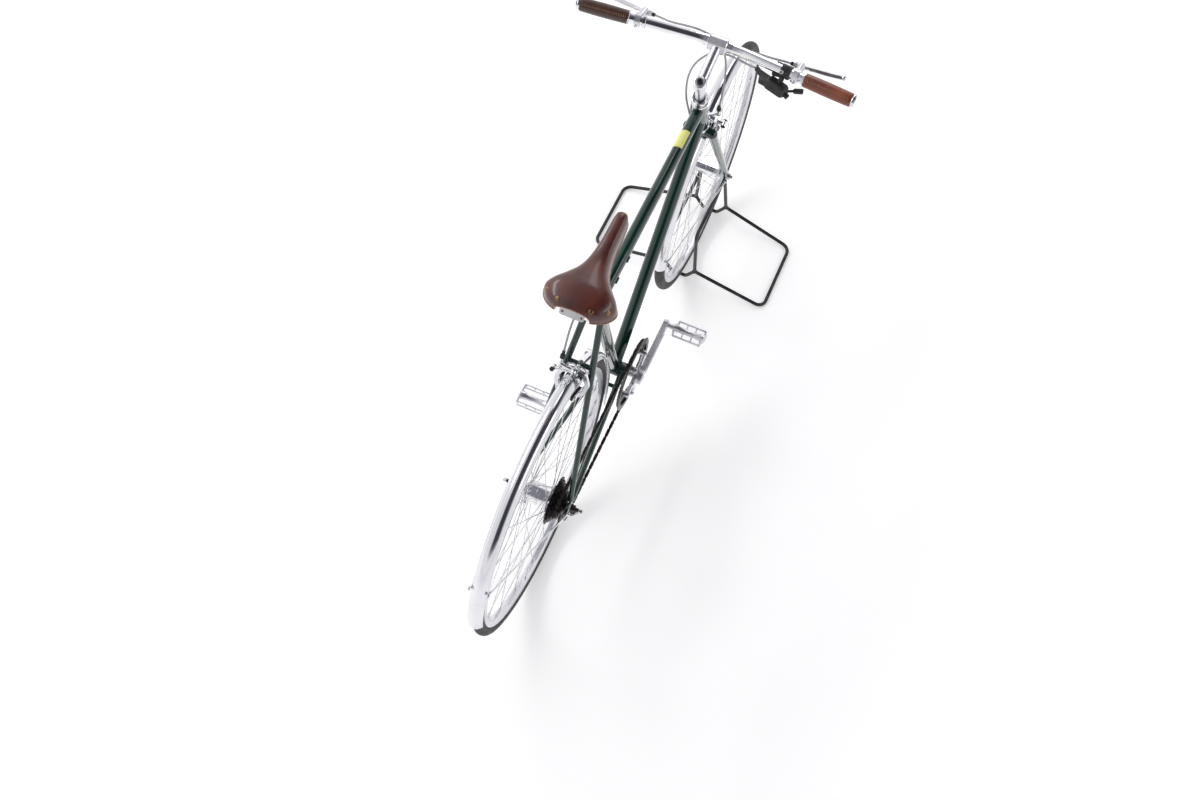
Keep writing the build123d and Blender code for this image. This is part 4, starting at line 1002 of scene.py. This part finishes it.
def belt_points(wheels, step):
    """Points every few millimetres round a belt over circles given as (x, z, radius, turn)."""
    count = len(wheels)
    runs = []
    for index in range(count):
        x1, z1, r1, t1 = wheels[index]
        x2, z2, r2, t2 = wheels[(index + 1) % count]
        distance = math.hypot(x2 - x1, z2 - z1)
        lean = math.asin((t1 * r1 - t2 * r2) / distance)
        normal = math.atan2(z2 - z1, x2 - x1) + math.pi / 2 - lean
        nx = math.cos(normal)
        nz = math.sin(normal)
        runs.append(((x1 + t1 * r1 * nx, z1 + t1 * r1 * nz), (x2 + t2 * r2 * nx, z2 + t2 * r2 * nz)))
    points = []
    for index in range(count):
        (sx, sz), (ex, ez) = runs[index]
        pieces = max(1, round(math.hypot(ex - sx, ez - sz) / step))
        for part in range(pieces):
            share = part / pieces
            points.append((sx + (ex - sx) * share, sz + (ez - sz) * share))
        x, z, radius, turn = wheels[(index + 1) % count]
        leave = runs[(index + 1) % count][0]
        first = math.atan2(ez - z, ex - x)
        last = math.atan2(leave[1] - z, leave[0] - x)
        if turn > 0 and last > first:
            last -= 2 * math.pi
        if turn < 0 and last < first:
            last += 2 * math.pi
        pieces = max(1, round(abs(last - first) * radius / step))
        for part in range(pieces):
            angle = first + (last - first) * part / pieces
            points.append((x + radius * math.cos(angle), z + radius * math.sin(angle)))
    return points


def even_points(points, pitch):
    """Resamples a closed line into equal steps as near to a pitch as the line allows."""
    lengths = [math.dist(a, b) for a, b in zip(points, points[1:] + points[:1])]
    total = sum(lengths)
    count = 2 * round(total / pitch / 2)
    spaced = []
    index = 0
    passed = 0.0
    for step in range(count):
        target = total * step / count
        while passed + lengths[index] < target:
            passed += lengths[index]
            index += 1
        share = (target - passed) / lengths[index]
        ax, az = points[index]
        bx, bz = points[(index + 1) % len(points)]
        spaced.append((ax + (bx - ax) * share, az + (bz - az) * share))
    return spaced


def plate_outline(length, end_radius, waist):
    """The waisted outline of one chain plate between two pins."""
    points = []
    for end, first in ((1, -1), (-1, 1)):
        for step in range(9):
            angle = math.radians(-110 + 220 * step / 8) + (0 if end > 0 else math.pi)
            points.append((end * length / 2 + end_radius * math.cos(angle), end_radius * math.sin(angle)))
        points.append((0, first * -waist))
    return points


def make_chain(pins):
    """Outer and inner plates in turn, with a roller at every pin and a dark filler between rollers as painted
    shade.
    """
    bm = bmesh.new()
    for index, (x, z) in enumerate(pins):
        after_x, after_z = pins[(index + 1) % len(pins)]
        middle = ((x + after_x) / 2, CHAIN_LINE, (z + after_z) / 2)
        along = Vector((after_x - x, 0, after_z - z))
        place = spot(middle, (0, -1, 0), along)
        face = OUTER_PLATE_FACE if index % 2 == 0 else INNER_PLATE_FACE
        outline = plate_outline(along.length, PLATE_END_RADIUS, PLATE_WAIST)
        prism(bm, place, outline, face, face + PLATE_THICKNESS)
        prism(bm, place, outline, -face - PLATE_THICKNESS, -face)
        # painted shade: a dark oiled block between the plates closes the gap between each pair of rollers
        prism(bm, place, rounded(along.length - 5.4, 5.0, 1.5), -face, face)
        pin = spot((x, CHAIN_LINE, z), (0, -1, 0))
        lathe(bm, pin, ((0, PIN_HALF_LENGTH), (PIN_RADIUS, PIN_HALF_LENGTH), (PIN_RADIUS, INNER_PLATE_FACE),
                        (ROLLER_RADIUS, INNER_PLATE_FACE), (ROLLER_RADIUS, -INNER_PLATE_FACE),
                        (PIN_RADIUS, -INNER_PLATE_FACE), (PIN_RADIUS, -PIN_HALF_LENGTH),
                        (0, -PIN_HALF_LENGTH)), 10)
    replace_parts(piece("chain_links", bm, oiled, "frame"), "chain")


def upright(centre, y):
    """A matrix that stands local X and Y in the X-Z plane, round a centre given as (x, z)."""
    turn = Matrix(((MM, 0, 0, 0), (0, 0, -MM, 0), (0, MM, 0, 0), (0, 0, 0, 1)))
    return Matrix.Translation(at((centre[0], y, centre[1]))) @ turn


def sprocket(bm, centre, teeth, y, thickness, bore, phase):
    """A toothed ring, its first valley at an angle in the X-Z plane."""
    radius = pitch_radius(teeth)
    outer = []
    inner = []
    for tooth in range(teeth):
        for share, lift in TOOTH_SHAPE:
            angle = phase + 2 * math.pi * (tooth + share) / teeth
            outer.append(((radius + lift) * math.cos(angle), (radius + lift) * math.sin(angle)))
            inner.append((bore * math.cos(angle), bore * math.sin(angle)))
    ring_plate(bm, upright(centre, y), outer, inner, -thickness / 2, thickness / 2)


def phase_from(pins, centre, radius):
    """The angle of the chain pin that sits best on a wheel, where a valley has to be."""
    def misfit(pin):
        return abs(math.dist(pin, centre) - radius)
    on_wheel = [pin for pin in pins if misfit(pin) < 0.3]
    best = on_wheel[len(on_wheel) // 2]
    return math.atan2(best[1] - centre[1], best[0] - centre[0])


REAR_CENTRE = (0.0, TYRE_RADIUS)
CRANK_CENTRE = (BOTTOM_BRACKET.x, BOTTOM_BRACKET.z)
chain_wheels = ((*REAR_CENTRE, pitch_radius(COG_TEETH[CHAIN_COG]), 1),
                (*CRANK_CENTRE, pitch_radius(CHAINRING_TEETH), 1),
                (*TENSION_PULLEY, pitch_radius(PULLEY_TEETH), 1),
                (*GUIDE_PULLEY, pitch_radius(PULLEY_TEETH), -1))
pins = even_points(belt_points(chain_wheels, 1.0), CHAIN_PITCH)
make_chain(pins)


def make_chainring():
    """The toothed ring on its five arms, the guard outside it, and the bolts through both."""
    bm = bmesh.new()
    radius = pitch_radius(CHAINRING_TEETH)
    sprocket(bm, CRANK_CENTRE, CHAINRING_TEETH, CHAIN_LINE, 2.0, 62.0,
             phase_from(pins, CRANK_CENTRE, radius))
    place = upright(CRANK_CENTRE, CHAIN_LINE)
    for angle in SPIDER_ANGLES:
        turned = place @ Matrix.Rotation(angle, 4, "Z") @ Matrix.Translation((59, 0, 0))
        prism(bm, turned, rounded(12, 22, 5), -1.0, 1.0)
    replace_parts(piece("toothed_chainring", bm, black, "cranks"), "chainring")
    bm = bmesh.new()
    guard_y = CHAIN_LINE - GUARD_RING_OFFSET
    rim = radius + GUARD_RING_OVERHANG
    lathe(bm, spot((CRANK_CENTRE[0], guard_y, CRANK_CENTRE[1]), (0, 1, 0)),
          ((rim - 15, -1.1), (rim - 1, -1.1), (rim, -0.4), (rim, 0.5), (rim - 1, 1.2), (rim - 15, 1.2)), 120,
          closed=True)
    for angle in SPIDER_ANGLES:
        tab = upright(CRANK_CENTRE, guard_y) @ Matrix.Rotation(angle, 4, "Z")
        prism(bm, tab @ Matrix.Translation((70, 0, 0)), rounded(32, 11, 5), -1.0, 1.0)
    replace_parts(piece("chain_guard", bm, black, "cranks"), "chain_guard_ring")
    bm = bmesh.new()
    for angle in SPIDER_ANGLES:
        centre = BOTTOM_BRACKET + Vector((math.cos(angle), 0, math.sin(angle))) * SPIDER_BOLT_RADIUS
        bolt(bm, centre + Vector((0, CHAIN_LINE + 1.2, 0)), (0, 1, 0), 5.0, 1.8, "socket")
        bolt(bm, centre + Vector((0, -CRANK_ARM_Y + CRANK_ARM_HALF - 0.4, 0)), (0, -1, 0), 5.0, 1.8, "socket")
    piece("chainring_bolts", bm, chrome, "cranks")


def make_cassette():
    """Seven cogs on their carrier, with the lockring at its outer end."""
    bm = bmesh.new()
    first_y = CHAIN_LINE + CHAIN_COG * COG_SPACING
    phase = phase_from(pins, REAR_CENTRE, pitch_radius(COG_TEETH[CHAIN_COG]))
    for index, teeth in enumerate(COG_TEETH):
        sprocket(bm, REAR_CENTRE, teeth, first_y - index * COG_SPACING, 1.7, 17.0, phase)
    last_y = first_y - (len(COG_TEETH) - 1) * COG_SPACING
    place = spot((0, last_y - 0.9, TYRE_RADIUS), (0, 1, 0))
    length = first_y - last_y + 1.8
    lathe(bm, place, ((4.7, 0), (18.5, 0), (18.5, length), (4.7, length)), 48, closed=True)
    lathe(bm, spot((0, last_y - 0.9, TYRE_RADIUS), (0, -1, 0)),
          ((6.5, 0), (16.5, 0), (16.5, 1.2), (15.5, 1.8), (9.5, 1.8), (9.0, 0.6), (6.5, 0.6)), 40)
    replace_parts(piece("toothed_cassette", bm, oiled, "cogs"), "cassette")


def make_pulleys():
    """The derailleur's two toothed pulleys and its bolts."""
    bm = bmesh.new()
    for centre in (GUIDE_PULLEY, TENSION_PULLEY):
        sprocket(bm, centre, PULLEY_TEETH, CHAIN_LINE, 2.6, 12.0,
                 phase_from(pins, centre, pitch_radius(PULLEY_TEETH)))
    piece("pulley_teeth", bm, plastic, "frame")
    bm = bmesh.new()
    for x, z in (GUIDE_PULLEY, TENSION_PULLEY):
        for side in (1, -1):
            bolt(bm, (x, CHAIN_LINE + side * 7.4, z), (0, side, 0), 4.2, 2.4, "socket")
    bolt(bm, (6, -82.6, 318), (0, -1, 0), 8.0, 4.0, "socket")
    bolt(bm, (20, -70, 268), (0, -1, 0), 6.5, 4.0, "dome")
    piece("derailleur_bolts", bm, satin, "frame")


make_chainring()
make_cassette()
make_pulleys()


# ---------------------------------------------------------------- cranks and pedals
def make_crank_trim():
    """The cranks' dust caps, the rings round the pedal eyes and the raised edges of the arms."""
    bm = bmesh.new()
    for side in (1, -1):
        outer = side * (CRANK_ARM_Y + CRANK_ARM_HALF)
        lathe(bm, spot((BOTTOM_BRACKET.x, outer, BOTTOM_BRACKET.z), (0, side, 0)),
              ((0, 2.6), (6, 2.6), (6.4, 1.6), (10.5, 1.6), (12, 0.6), (12, -0.5), (0, -0.5)), 32)
        end_x = BOTTOM_BRACKET.x - side * CRANK_LENGTH
        lathe(bm, spot((end_x, outer, BOTTOM_BRACKET.z), (0, side, 0)),
              ((7.2, 0.9), (10.5, 0.9), (11.2, 0.2), (11.2, -0.5), (7.2, -0.5)), 32, closed=True)
        middle_x = BOTTOM_BRACKET.x - side * CRANK_LENGTH / 2
        groove = spot((middle_x, outer, BOTTOM_BRACKET.z), (0, side, 0), (1, 0, 0))
        for edge in (1, -1):
            prism(bm, groove @ Matrix.Translation((0, edge * 9, 0)), rounded(CRANK_LENGTH - 44, 4, 1.9), -0.4,
                  1.0)
    piece("crank_trim", bm, brushed, "cranks")


def make_pedal(side, name, tilt):
    """An alloy cage pedal: a waisted barrel, end plates, and two windowed rails with toothed edges."""
    end = Vector((BOTTOM_BRACKET.x - side * CRANK_LENGTH, 0, BOTTOM_BRACKET.z))
    inner = CRANK_ARM_Y + CRANK_ARM_HALF + PEDAL_GAP
    middle = side * (inner + PEDAL_LENGTH / 2)
    turn = Matrix.Translation(at(end)) @ Matrix.Rotation(tilt, 4, "Y") @ Matrix.Scale(MM, 4)
    bm = bmesh.new()
    for rail in (1, -1):
        x = rail * (PEDAL_DEPTH / 2 - 1.2)
        for face in (1, -1):
            edge = turn @ Matrix.Translation((x, middle, face * (PEDAL_HEIGHT / 2 - 3.4)))
            block(bm, edge, 2.2, PEDAL_LENGTH - 4, 4.6, 1.0, 0.4)
            for tooth in range(11):
                y = middle + (PEDAL_LENGTH - 14) * (tooth / 10 - 0.5)
                tip = turn @ Matrix.Translation((x, y, face * (PEDAL_HEIGHT / 2 - 0.9)))
                block(bm, tip, 2.2, 3.4, 1.8, 0.9, 0.4)
        for y in (-PEDAL_LENGTH / 2 + 5, -12, 12, PEDAL_LENGTH / 2 - 5):
            post = turn @ Matrix.Translation((x, middle + y, 0))
            block(bm, post, 2.2, 5.0, PEDAL_HEIGHT - 5, 1.0, 0.2)
    for y in (inner + 2.2, inner + PEDAL_LENGTH - 2.2):
        plate = turn @ Matrix.Translation((0, side * y, 0))
        block(bm, plate, PEDAL_DEPTH - 4, 4.2, 9.0, 1.6, 0.8)
    along = turn @ Matrix(((1, 0, 0, 0), (0, 0, side, side * inner), (0, -1, 0, 0), (0, 0, 0, 1)))
    barrel = ((0, -PEDAL_GAP - 10), (6.8, -PEDAL_GAP - 10), (6.8, -4), (10.6, -2.5), (10.6, 10), (9.6, 13),
              (8.2, 20), (7.6, 41), (8.2, 60), (9.8, 68), (10.6, 72), (10.6, PEDAL_LENGTH - 2),
              (9.0, PEDAL_LENGTH), (8.4, PEDAL_LENGTH + 2), (5.5, PEDAL_LENGTH + 2.8),
              (0, PEDAL_LENGTH + 2.8))
    lathe(bm, along, barrel, 32)
    for corner_x in (1, -1):
        lathe(bm, along @ Matrix.Translation((corner_x * 19, 0, PEDAL_LENGTH)),
              ((0, 1.8), (2.6, 1.4), (3.2, 0.4), (3.2, -0.5), (0, -0.5)), 16)
    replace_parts(piece("cage_pedal_" + name, bm, brushed, name + "_pedal"), "pedal_" + name)


make_crank_trim()
make_pedal(-1, "right", RIGHT_PEDAL_TILT)
make_pedal(1, "left", 0.0)


# ---------------------------------------------------------------- stem, headset and controls
def make_stem_trim():
    """The quill's recessed bolt, the binder bolt and rings of the clamp, and the headset's rings."""
    top = steering_point(0, 0, QUILL_TOP)
    bm = bmesh.new()
    bolt(bm, top + head_up * 1.6, head_up, 7.0, 3.4, "socket")
    piece("quill_bolt", bm, black, "fork_and_stand")
    joint = steering_point(0, 0, QUILL_TOP - 16)
    direction = (BAR_CENTRE - joint).normalized()
    binder = BAR_CENTRE + direction * 4 - Vector((0, 0, 21))
    bm = bmesh.new()
    for side in (1, -1):
        bolt(bm, binder + Vector((0, side * 15, 0)), (0, side, 0), 5.4, 4.5, "hex")
        lathe(bm, spot(BAR_CENTRE + Vector((0, side * 19.8, 0)), (0, side, 0)),
              ((12.9, 0), (18.2, 0), (18.4, 1.0), (17.6, 2.2), (12.9, 2.4)), 40, closed=True)
    piece("stem_clamp_trim", bm, chrome, "fork_and_stand")
    bm = bmesh.new()
    nut = spot(steering_point(0, 0, STACK_TOP - 9), head_up)
    lathe(bm, nut, ((17.4, 0), (19.6, 0.8), (19.6, 7.6), (17.4, 8.6)), 8, closed=True)
    piece("locknut_flats", bm, chrome, "fork_and_stand")
    bm = bmesh.new()
    for along, radius, facing in ((TUBE_TOP, 19.6, head_up), (TUBE_TOP + 5.5, 20.2, head_up),
                                  (TUBE_BOTTOM - 3.4, 21.4, head_up)):
        lathe(bm, spot(steering_point(0, 0, along), facing),
              ((18.2, 0), (radius, 0), (radius + 0.4, 0.8), (radius + 0.4, 2.6), (radius, 3.3), (18.2, 3.3)),
              44, closed=True)
    piece("headset_rings", bm, chrome, "frame")


def make_lever_trim(side, name):
    """The clamp's bolt, the lever's pivot screw, the adjuster and a ball at the blade's end."""
    middle = on_bar(side, LEVER_Y)
    hood = middle + Vector((44, 0, -14))
    bm = bmesh.new()
    bolt(bm, middle + Vector((-15, 0, -3)), (-1, 0, -0.2), 4.2, 3.0, "socket")
    bolt(bm, hood + Vector((3, 0, 6)), (0.1, 0, 1), 4.6, 2.6, "dome")
    ferrule = middle + Vector((44, -side * 18, -14))
    knurled(bm, ferrule + Vector((0, side * 9, 0)), (0, -side, 0), 6.6, 6)
    lathe(bm, spot(hood + Vector((13, side * 96, -3)), (0.15, side, -0.03)),
          ((0, 6.4), (3.2, 5.6), (5.6, 3.0), (6.2, 0), (5.2, -3.2), (4.0, -4.6), (0, -4.6)), 24)
    rings = []
    for y, x, z, half, thick in LEVER_BLADE:
        middle_ring = hood + Vector((x, side * y, z))
        ring = []
        for step in range(20):
            angle = 2 * math.pi * step / 20
            ring.append(bm.verts.new(at(middle_ring + Vector((half * math.cos(angle), 0,
                                                              thick * math.sin(angle))))))
        rings.append(ring)
    hull(bm, rings)
    piece("lever_trim_" + name, bm, brushed, "fork_and_stand")
    bm = bmesh.new()
    knurled(bm, ferrule + Vector((0, side * 2.5, 0)), (0, -side, 0), 4.4, 9, 14, 2.45)
    piece("lever_cable_cap_" + name, bm, plastic, "fork_and_stand")
    bm = bmesh.new()
    place = spot(on_bar(side, LEVER_Y - 20), bar_direction(side))
    lathe(bm, place, ((BAR_RADIUS, 0), (14.6, 0), (15.4, 0.8), (15.4, 7.2), (14.6, 8), (BAR_RADIUS, 8)), 36)
    piece("bar_band_" + name, bm, chrome if side > 0 else plastic, "fork_and_stand")


def make_shifter_trim():
    """Ribbed pads on the thumb paddles, the band's screw and the cable's collar."""
    middle = on_bar(-1, SHIFTER_Y)
    shoulder = middle + Vector((-24, -12, -36))
    bm = bmesh.new()
    bolt(bm, middle + Vector((8, 2, -12)), (0.6, 0, -0.8), 4.4, 3.4, "socket")
    bolt(bm, middle + Vector((-13, 4, 8)), (-0.7, 0, 0.7), 4.6, 3.0, "socket")
    piece("shifter_screws", bm, satin, "fork_and_stand")
    bm = bmesh.new()
    waist = middle + Vector((-17, 12, -35))
    block(bm, spot(waist + Vector((-3, -6, 2)), (0.25, -0.1, 1), (0.3, 1, 0)), 52, 29, 25, 9, 4)
    block(bm, spot(waist + Vector((2, 22, 2)), (0.2, 0.1, 1), (0.35, 1, 0)), 30, 19, 18, 6, 3)
    block(bm, spot(middle + Vector((2, 14, -14)), (0.5, 0.1, 1), (0, 1, 0)), 24, 18, 14, 5, 2.5)
    piece("shifter_cover", bm, plastic, "fork_and_stand")
    bm = bmesh.new()
    width = 6.6
    for start, end, count in (((13, -23, 0), (19, -39, 0), 6), ((-3, -4, 0), (-8, -13, -3), 4)):
        along = Vector(end) - Vector(start)
        for index in range(count):
            place = spot(shoulder + Vector(start) + along * ((index + 0.5) / count), along)
            lathe(bm, place, ((0, -0.7), (width - 0.5, -0.7), (width, 0), (width - 0.5, 0.7), (0, 0.7)), 20)
    nose = middle + Vector((12, 64, -35))
    knurled(bm, nose - Vector((2, 6, 0)), (0.4, 0.9, 0), 6.2, 7, 16, 2.5)
    piece("shifter_ribs", bm, plastic, "fork_and_stand")


make_stem_trim()
for hand, label in ((1, "left"), (-1, "right")):
    make_lever_trim(hand, label)
make_shifter_trim()


# ---------------------------------------------------------------- brakes
def caliper_place(origin, forward, up):
    """Local millimetres of a caliper: X away from the frame, Z up the fork or stay."""
    side = up.cross(forward)
    turn = Matrix((forward, side, up)).transposed().to_4x4()
    return Matrix.Translation(at(origin)) @ turn @ Matrix.Scale(MM, 4)


def local_spot(place, point, direction):
    z_axis = Vector(direction).normalized()
    return place @ Matrix.Translation(point) @ z_axis.to_track_quat("Z", "Y").to_matrix().to_4x4()


def make_caliper_trim(name, place, height, reach, barrel_top, body):
    """Nuts, return spring, finned pads in their holders, the cable barrel and its anchor bolt."""
    silver = bmesh.new()
    lathe(silver, local_spot(place, (height + 9.6, 0, 0), (1, 0, 0)),
          ((0, 5), (4.6, 4.6), (6.4, 2.6), (6.6, 0), (0, 0)), 24)
    lathe(silver, local_spot(place, (height + 6.9, 0, 0), (1, 0, 0)),
          ((5, 0), (8.6, 0), (8.6, 1.2), (5, 1.4)), 6)
    lathe(silver, local_spot(place, (height + 2, BARREL_Y, barrel_top - 30), (0, 0, -1)),
          ((0, 0), (5.2, 0), (5.2, 4), (4.2, 5), (0, 5)), 6)
    for side in (1, -1):
        face = side * (RIM_HALF_WIDTH + PAD_GAP + PAD_DEPTH + 0.2)
        holder = place @ Matrix.Translation((height, face, -reach))
        holder = holder @ Matrix.Rotation(math.radians(-90), 4, "X")
        prism(silver, holder, rounded(54, 12.4, 3), -1.6 if side > 0 else -1.2, 1.2 if side > 0 else 1.6)
        lathe(silver, local_spot(place, (height, side * 27, -reach), (0, side, 0)),
              ((0, 4), (4.4, 4), (5.2, 3.2), (5.2, 0), (0, 0)), 6)
    piece(name + "_caliper_nuts", silver, chrome, body)
    spring = bmesh.new()
    for side in (1, -1):
        path = []
        for y, z in BRAKE_SPRING:
            path.append(place @ Vector((height - 6.5, side * y, z)))
        pipe(spring, path, 1.3 * MM, 8)
    piece(name + "_caliper_spring", spring, satin, body)
    dark = bmesh.new()
    barrel = place @ Matrix.Translation((height + 2, BARREL_Y, barrel_top - 8))
    knurl(dark, barrel, 5.6, 4.9, 9.5, 16, 2.6)
    lathe(dark, local_spot(place, (height + 9, ANCHOR_Y, -12), (1, 0, 0)),
          ((0, 4), (4.6, 4), (5.6, 3.2), (5.6, 0), (0, 0)), 6)
    lathe(dark, local_spot(place, (height - 4, ANCHOR_Y, -12), (-1, 0, 0)),
          ((0, 3.4), (4.8, 3.4), (5.4, 2.6), (5.4, 0), (0, 0)), 6)
    piece(name + "_caliper_black_bolts", dark, black, body)
    pads = bmesh.new()
    for side in (1, -1):
        middle_y = side * (RIM_HALF_WIDTH + PAD_GAP + PAD_DEPTH / 2)
        for fin in range(PAD_FINS):
            x = height - 26 + 3.1 + fin * PAD_FIN_PITCH
            holder = place @ Matrix.Translation((x, middle_y, -reach))
            prism(pads, holder, rounded(5.6, PAD_DEPTH, 0.8, 2), -5, 5)
        holder = place @ Matrix.Translation((height, middle_y + side * 1.2, -reach))
        prism(pads, holder, rounded(51, 5.2, 1.5, 2), -4.4, 4.4)
    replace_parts(piece(name + "_finned_pads", pads, rubber, body), name + "_brake_pads")


def pad_height(offset):
    """Height above the axle of a pad that is offset from it along the wheel."""
    return math.sqrt((RIM_FLANGE_RADIUS - 8) ** 2 - offset ** 2)


front_place = caliper_place(steering_point(0, 0, FRONT_BRAKE_ALONG), head_forward, head_up)
rear_place = caliper_place(BRIDGE_CENTRE, stay_back, STAY_DIRECTION)
make_caliper_trim("front", front_place, BRAKE_AHEAD, FRONT_BRAKE_ALONG - pad_height(50.0 - BRAKE_AHEAD),
                  64.0, "fork_and_stand")
make_caliper_trim("rear", rear_place, BRAKE_AHEAD, BRIDGE_DISTANCE - pad_height(BRAKE_AHEAD), 26.0, "frame")


# ---------------------------------------------------------------- frame trim
def make_sticker():
    """A blank yellow film wrapped over the top tube."""
    bm = bmesh.new()
    rows = 16
    columns = 20
    radius = TOP_TUBE_RADIUS + STICKER_LIFT
    first, last = STICKER_TURN
    grid = []
    for row in range(rows + 1):
        x = STICKER[0] + (STICKER[1] - STICKER[0]) * row / rows
        line = []
        for column in range(columns + 1):
            angle = math.radians(first + (last - first) * column / columns)
            point = (x, radius * math.sin(angle), TOP_TUBE_Z + radius * math.cos(angle))
            line.append(bm.verts.new(at(point)))
        grid.append(line)
    sheet(bm, grid)
    film = open_piece("blank_sticker", bm, sticker_film, "frame")
    thicken(film, STICKER_THICKNESS, 0)


def make_frame_trim():
    """The seat collar's ears and bolt, and raised lips on the seat tube and the head tube."""
    collar = seat_top - seat_up * 5.5
    bm = bmesh.new()
    rear = Vector((-1, 0, 0))
    for side in (1, -1):
        ear = collar + rear * 20 + Vector((0, side * 5, 0))
        lathe(bm, spot(ear, (0, side, 0)), ((0, 5), (4.6, 5), (5.4, 4.2), (5.4, -3), (0, -3)), 24)
    piece("seat_collar_ears", bm, paint, "frame")
    bm = bmesh.new()
    bolt(bm, collar + rear * 20 + Vector((0, 10, 0)), (0, 1, 0), 4.0, 3.0, "socket")
    bolt(bm, collar + rear * 20 - Vector((0, 10, 0)), (0, -1, 0), 4.0, 3.0, "hex")
    piece("seat_collar_bolt", bm, satin, "frame")
    bm = bmesh.new()
    lathe(bm, spot(seat_top, seat_up), ((13.1, -2), (15.4, -2), (15.6, -1), (15.2, 1.4), (13.1, 1.8)), 40,
          closed=True)
    piece("seat_tube_lip", bm, chrome, "frame")
    bm = bmesh.new()
    for centre in (steering_point(0, 0, TUBE_TOP - 4), steering_point(0, 0, TUBE_BOTTOM + 0.6)):
        lathe(bm, spot(centre, head_up), ((17.6, 0), (18.6, 0.2), (18.9, 1.4), (18.6, 3.2), (17.6, 3.4)), 48,
              closed=True)
    piece("head_tube_lips", bm, paint, "frame")


def make_ferrules():
    """Black caps where the cable sleeves end in their stops."""
    bm = bmesh.new()
    down_back = Vector((-0.6978, 0, -0.7163))
    for tip, inward in ((REAR_LOOP_ROUTE[-1], Vector((-1, 0, 0))), (REAR_BRAKE_ROUTE[0], Vector((1, 0, 0))),
                        (GEAR_LOOP_ROUTE[-1], down_back)):
        knurled(bm, Vector(tip) - inward * 9, inward, 3.4, 9.4, 14, 2.45)
    piece("stop_ferrules", bm, plastic, "frame")
    bm = bmesh.new()
    knurled(bm, Vector(FRONT_BRAKE_ROUTE[-1]) - head_up * 1.2, head_up, 4.0, 12, 14, 2.45)
    piece("front_brake_cable_cap", bm, plastic, "fork_and_stand")
    bm = bmesh.new()
    knurled(bm, Vector(REAR_BRAKE_ROUTE[-1]) - STAY_DIRECTION * 0.6, STAY_DIRECTION, 3.8, 11, 14, 2.45)
    piece("rear_brake_cable_cap", bm, plastic, "frame")


def make_inner_wires():
    """The bare wire between the stops under the top tube."""
    bm = bmesh.new()
    pipe(bm, [at((300, WIRE_Y, WIRE_Z)), at((817, WIRE_Y, WIRE_Z))], 0.8 * MM, 8)
    piece("rear_brake_wire", bm, satin, "frame")


def make_axle_caps():
    """Rounded ends on the axles and washers under their nuts."""
    for name, body, x, face, end in AXLES:
        bm = bmesh.new()
        for side in (1, -1):
            lathe(bm, spot((x, side * end, TYRE_RADIUS), (0, side, 0)),
                  ((0, 0.0), (4.2, 0.0), (4.7, -1.2), (4.7, -8), (0, -8)), 24)
            lathe(bm, spot((x, side * face, TYRE_RADIUS), (0, side, 0)),
                  ((4.6, 0.1), (10.6, 0.1), (11, 0.6), (10.6, 1.5), (4.6, 1.5)), 36, closed=True)
        piece(name + "_axle_ends", bm, satin, body)


make_sticker()
make_frame_trim()
make_ferrules()
make_inner_wires()
make_axle_caps()


# ---------------------------------------------------------------- wheel stand
def make_stand_welds():
    """Small weld beads where the crossbars meet the loops."""
    bm = bmesh.new()
    for x in STAND_CROSSBAR_XS:
        for side in (1, -1):
            lathe(bm, spot((x, side * STAND_WELD_Y, STAND_WELD_Z), (0, side, 0.4)),
                  ((0, 6.4), (4, 6), (6.4, 3), (7, 0), (6.4, -3), (4, -6), (0, -6.4)), 18)
    piece("stand_welds", bm, stand_paint, "fork_and_stand")


make_stand_welds()
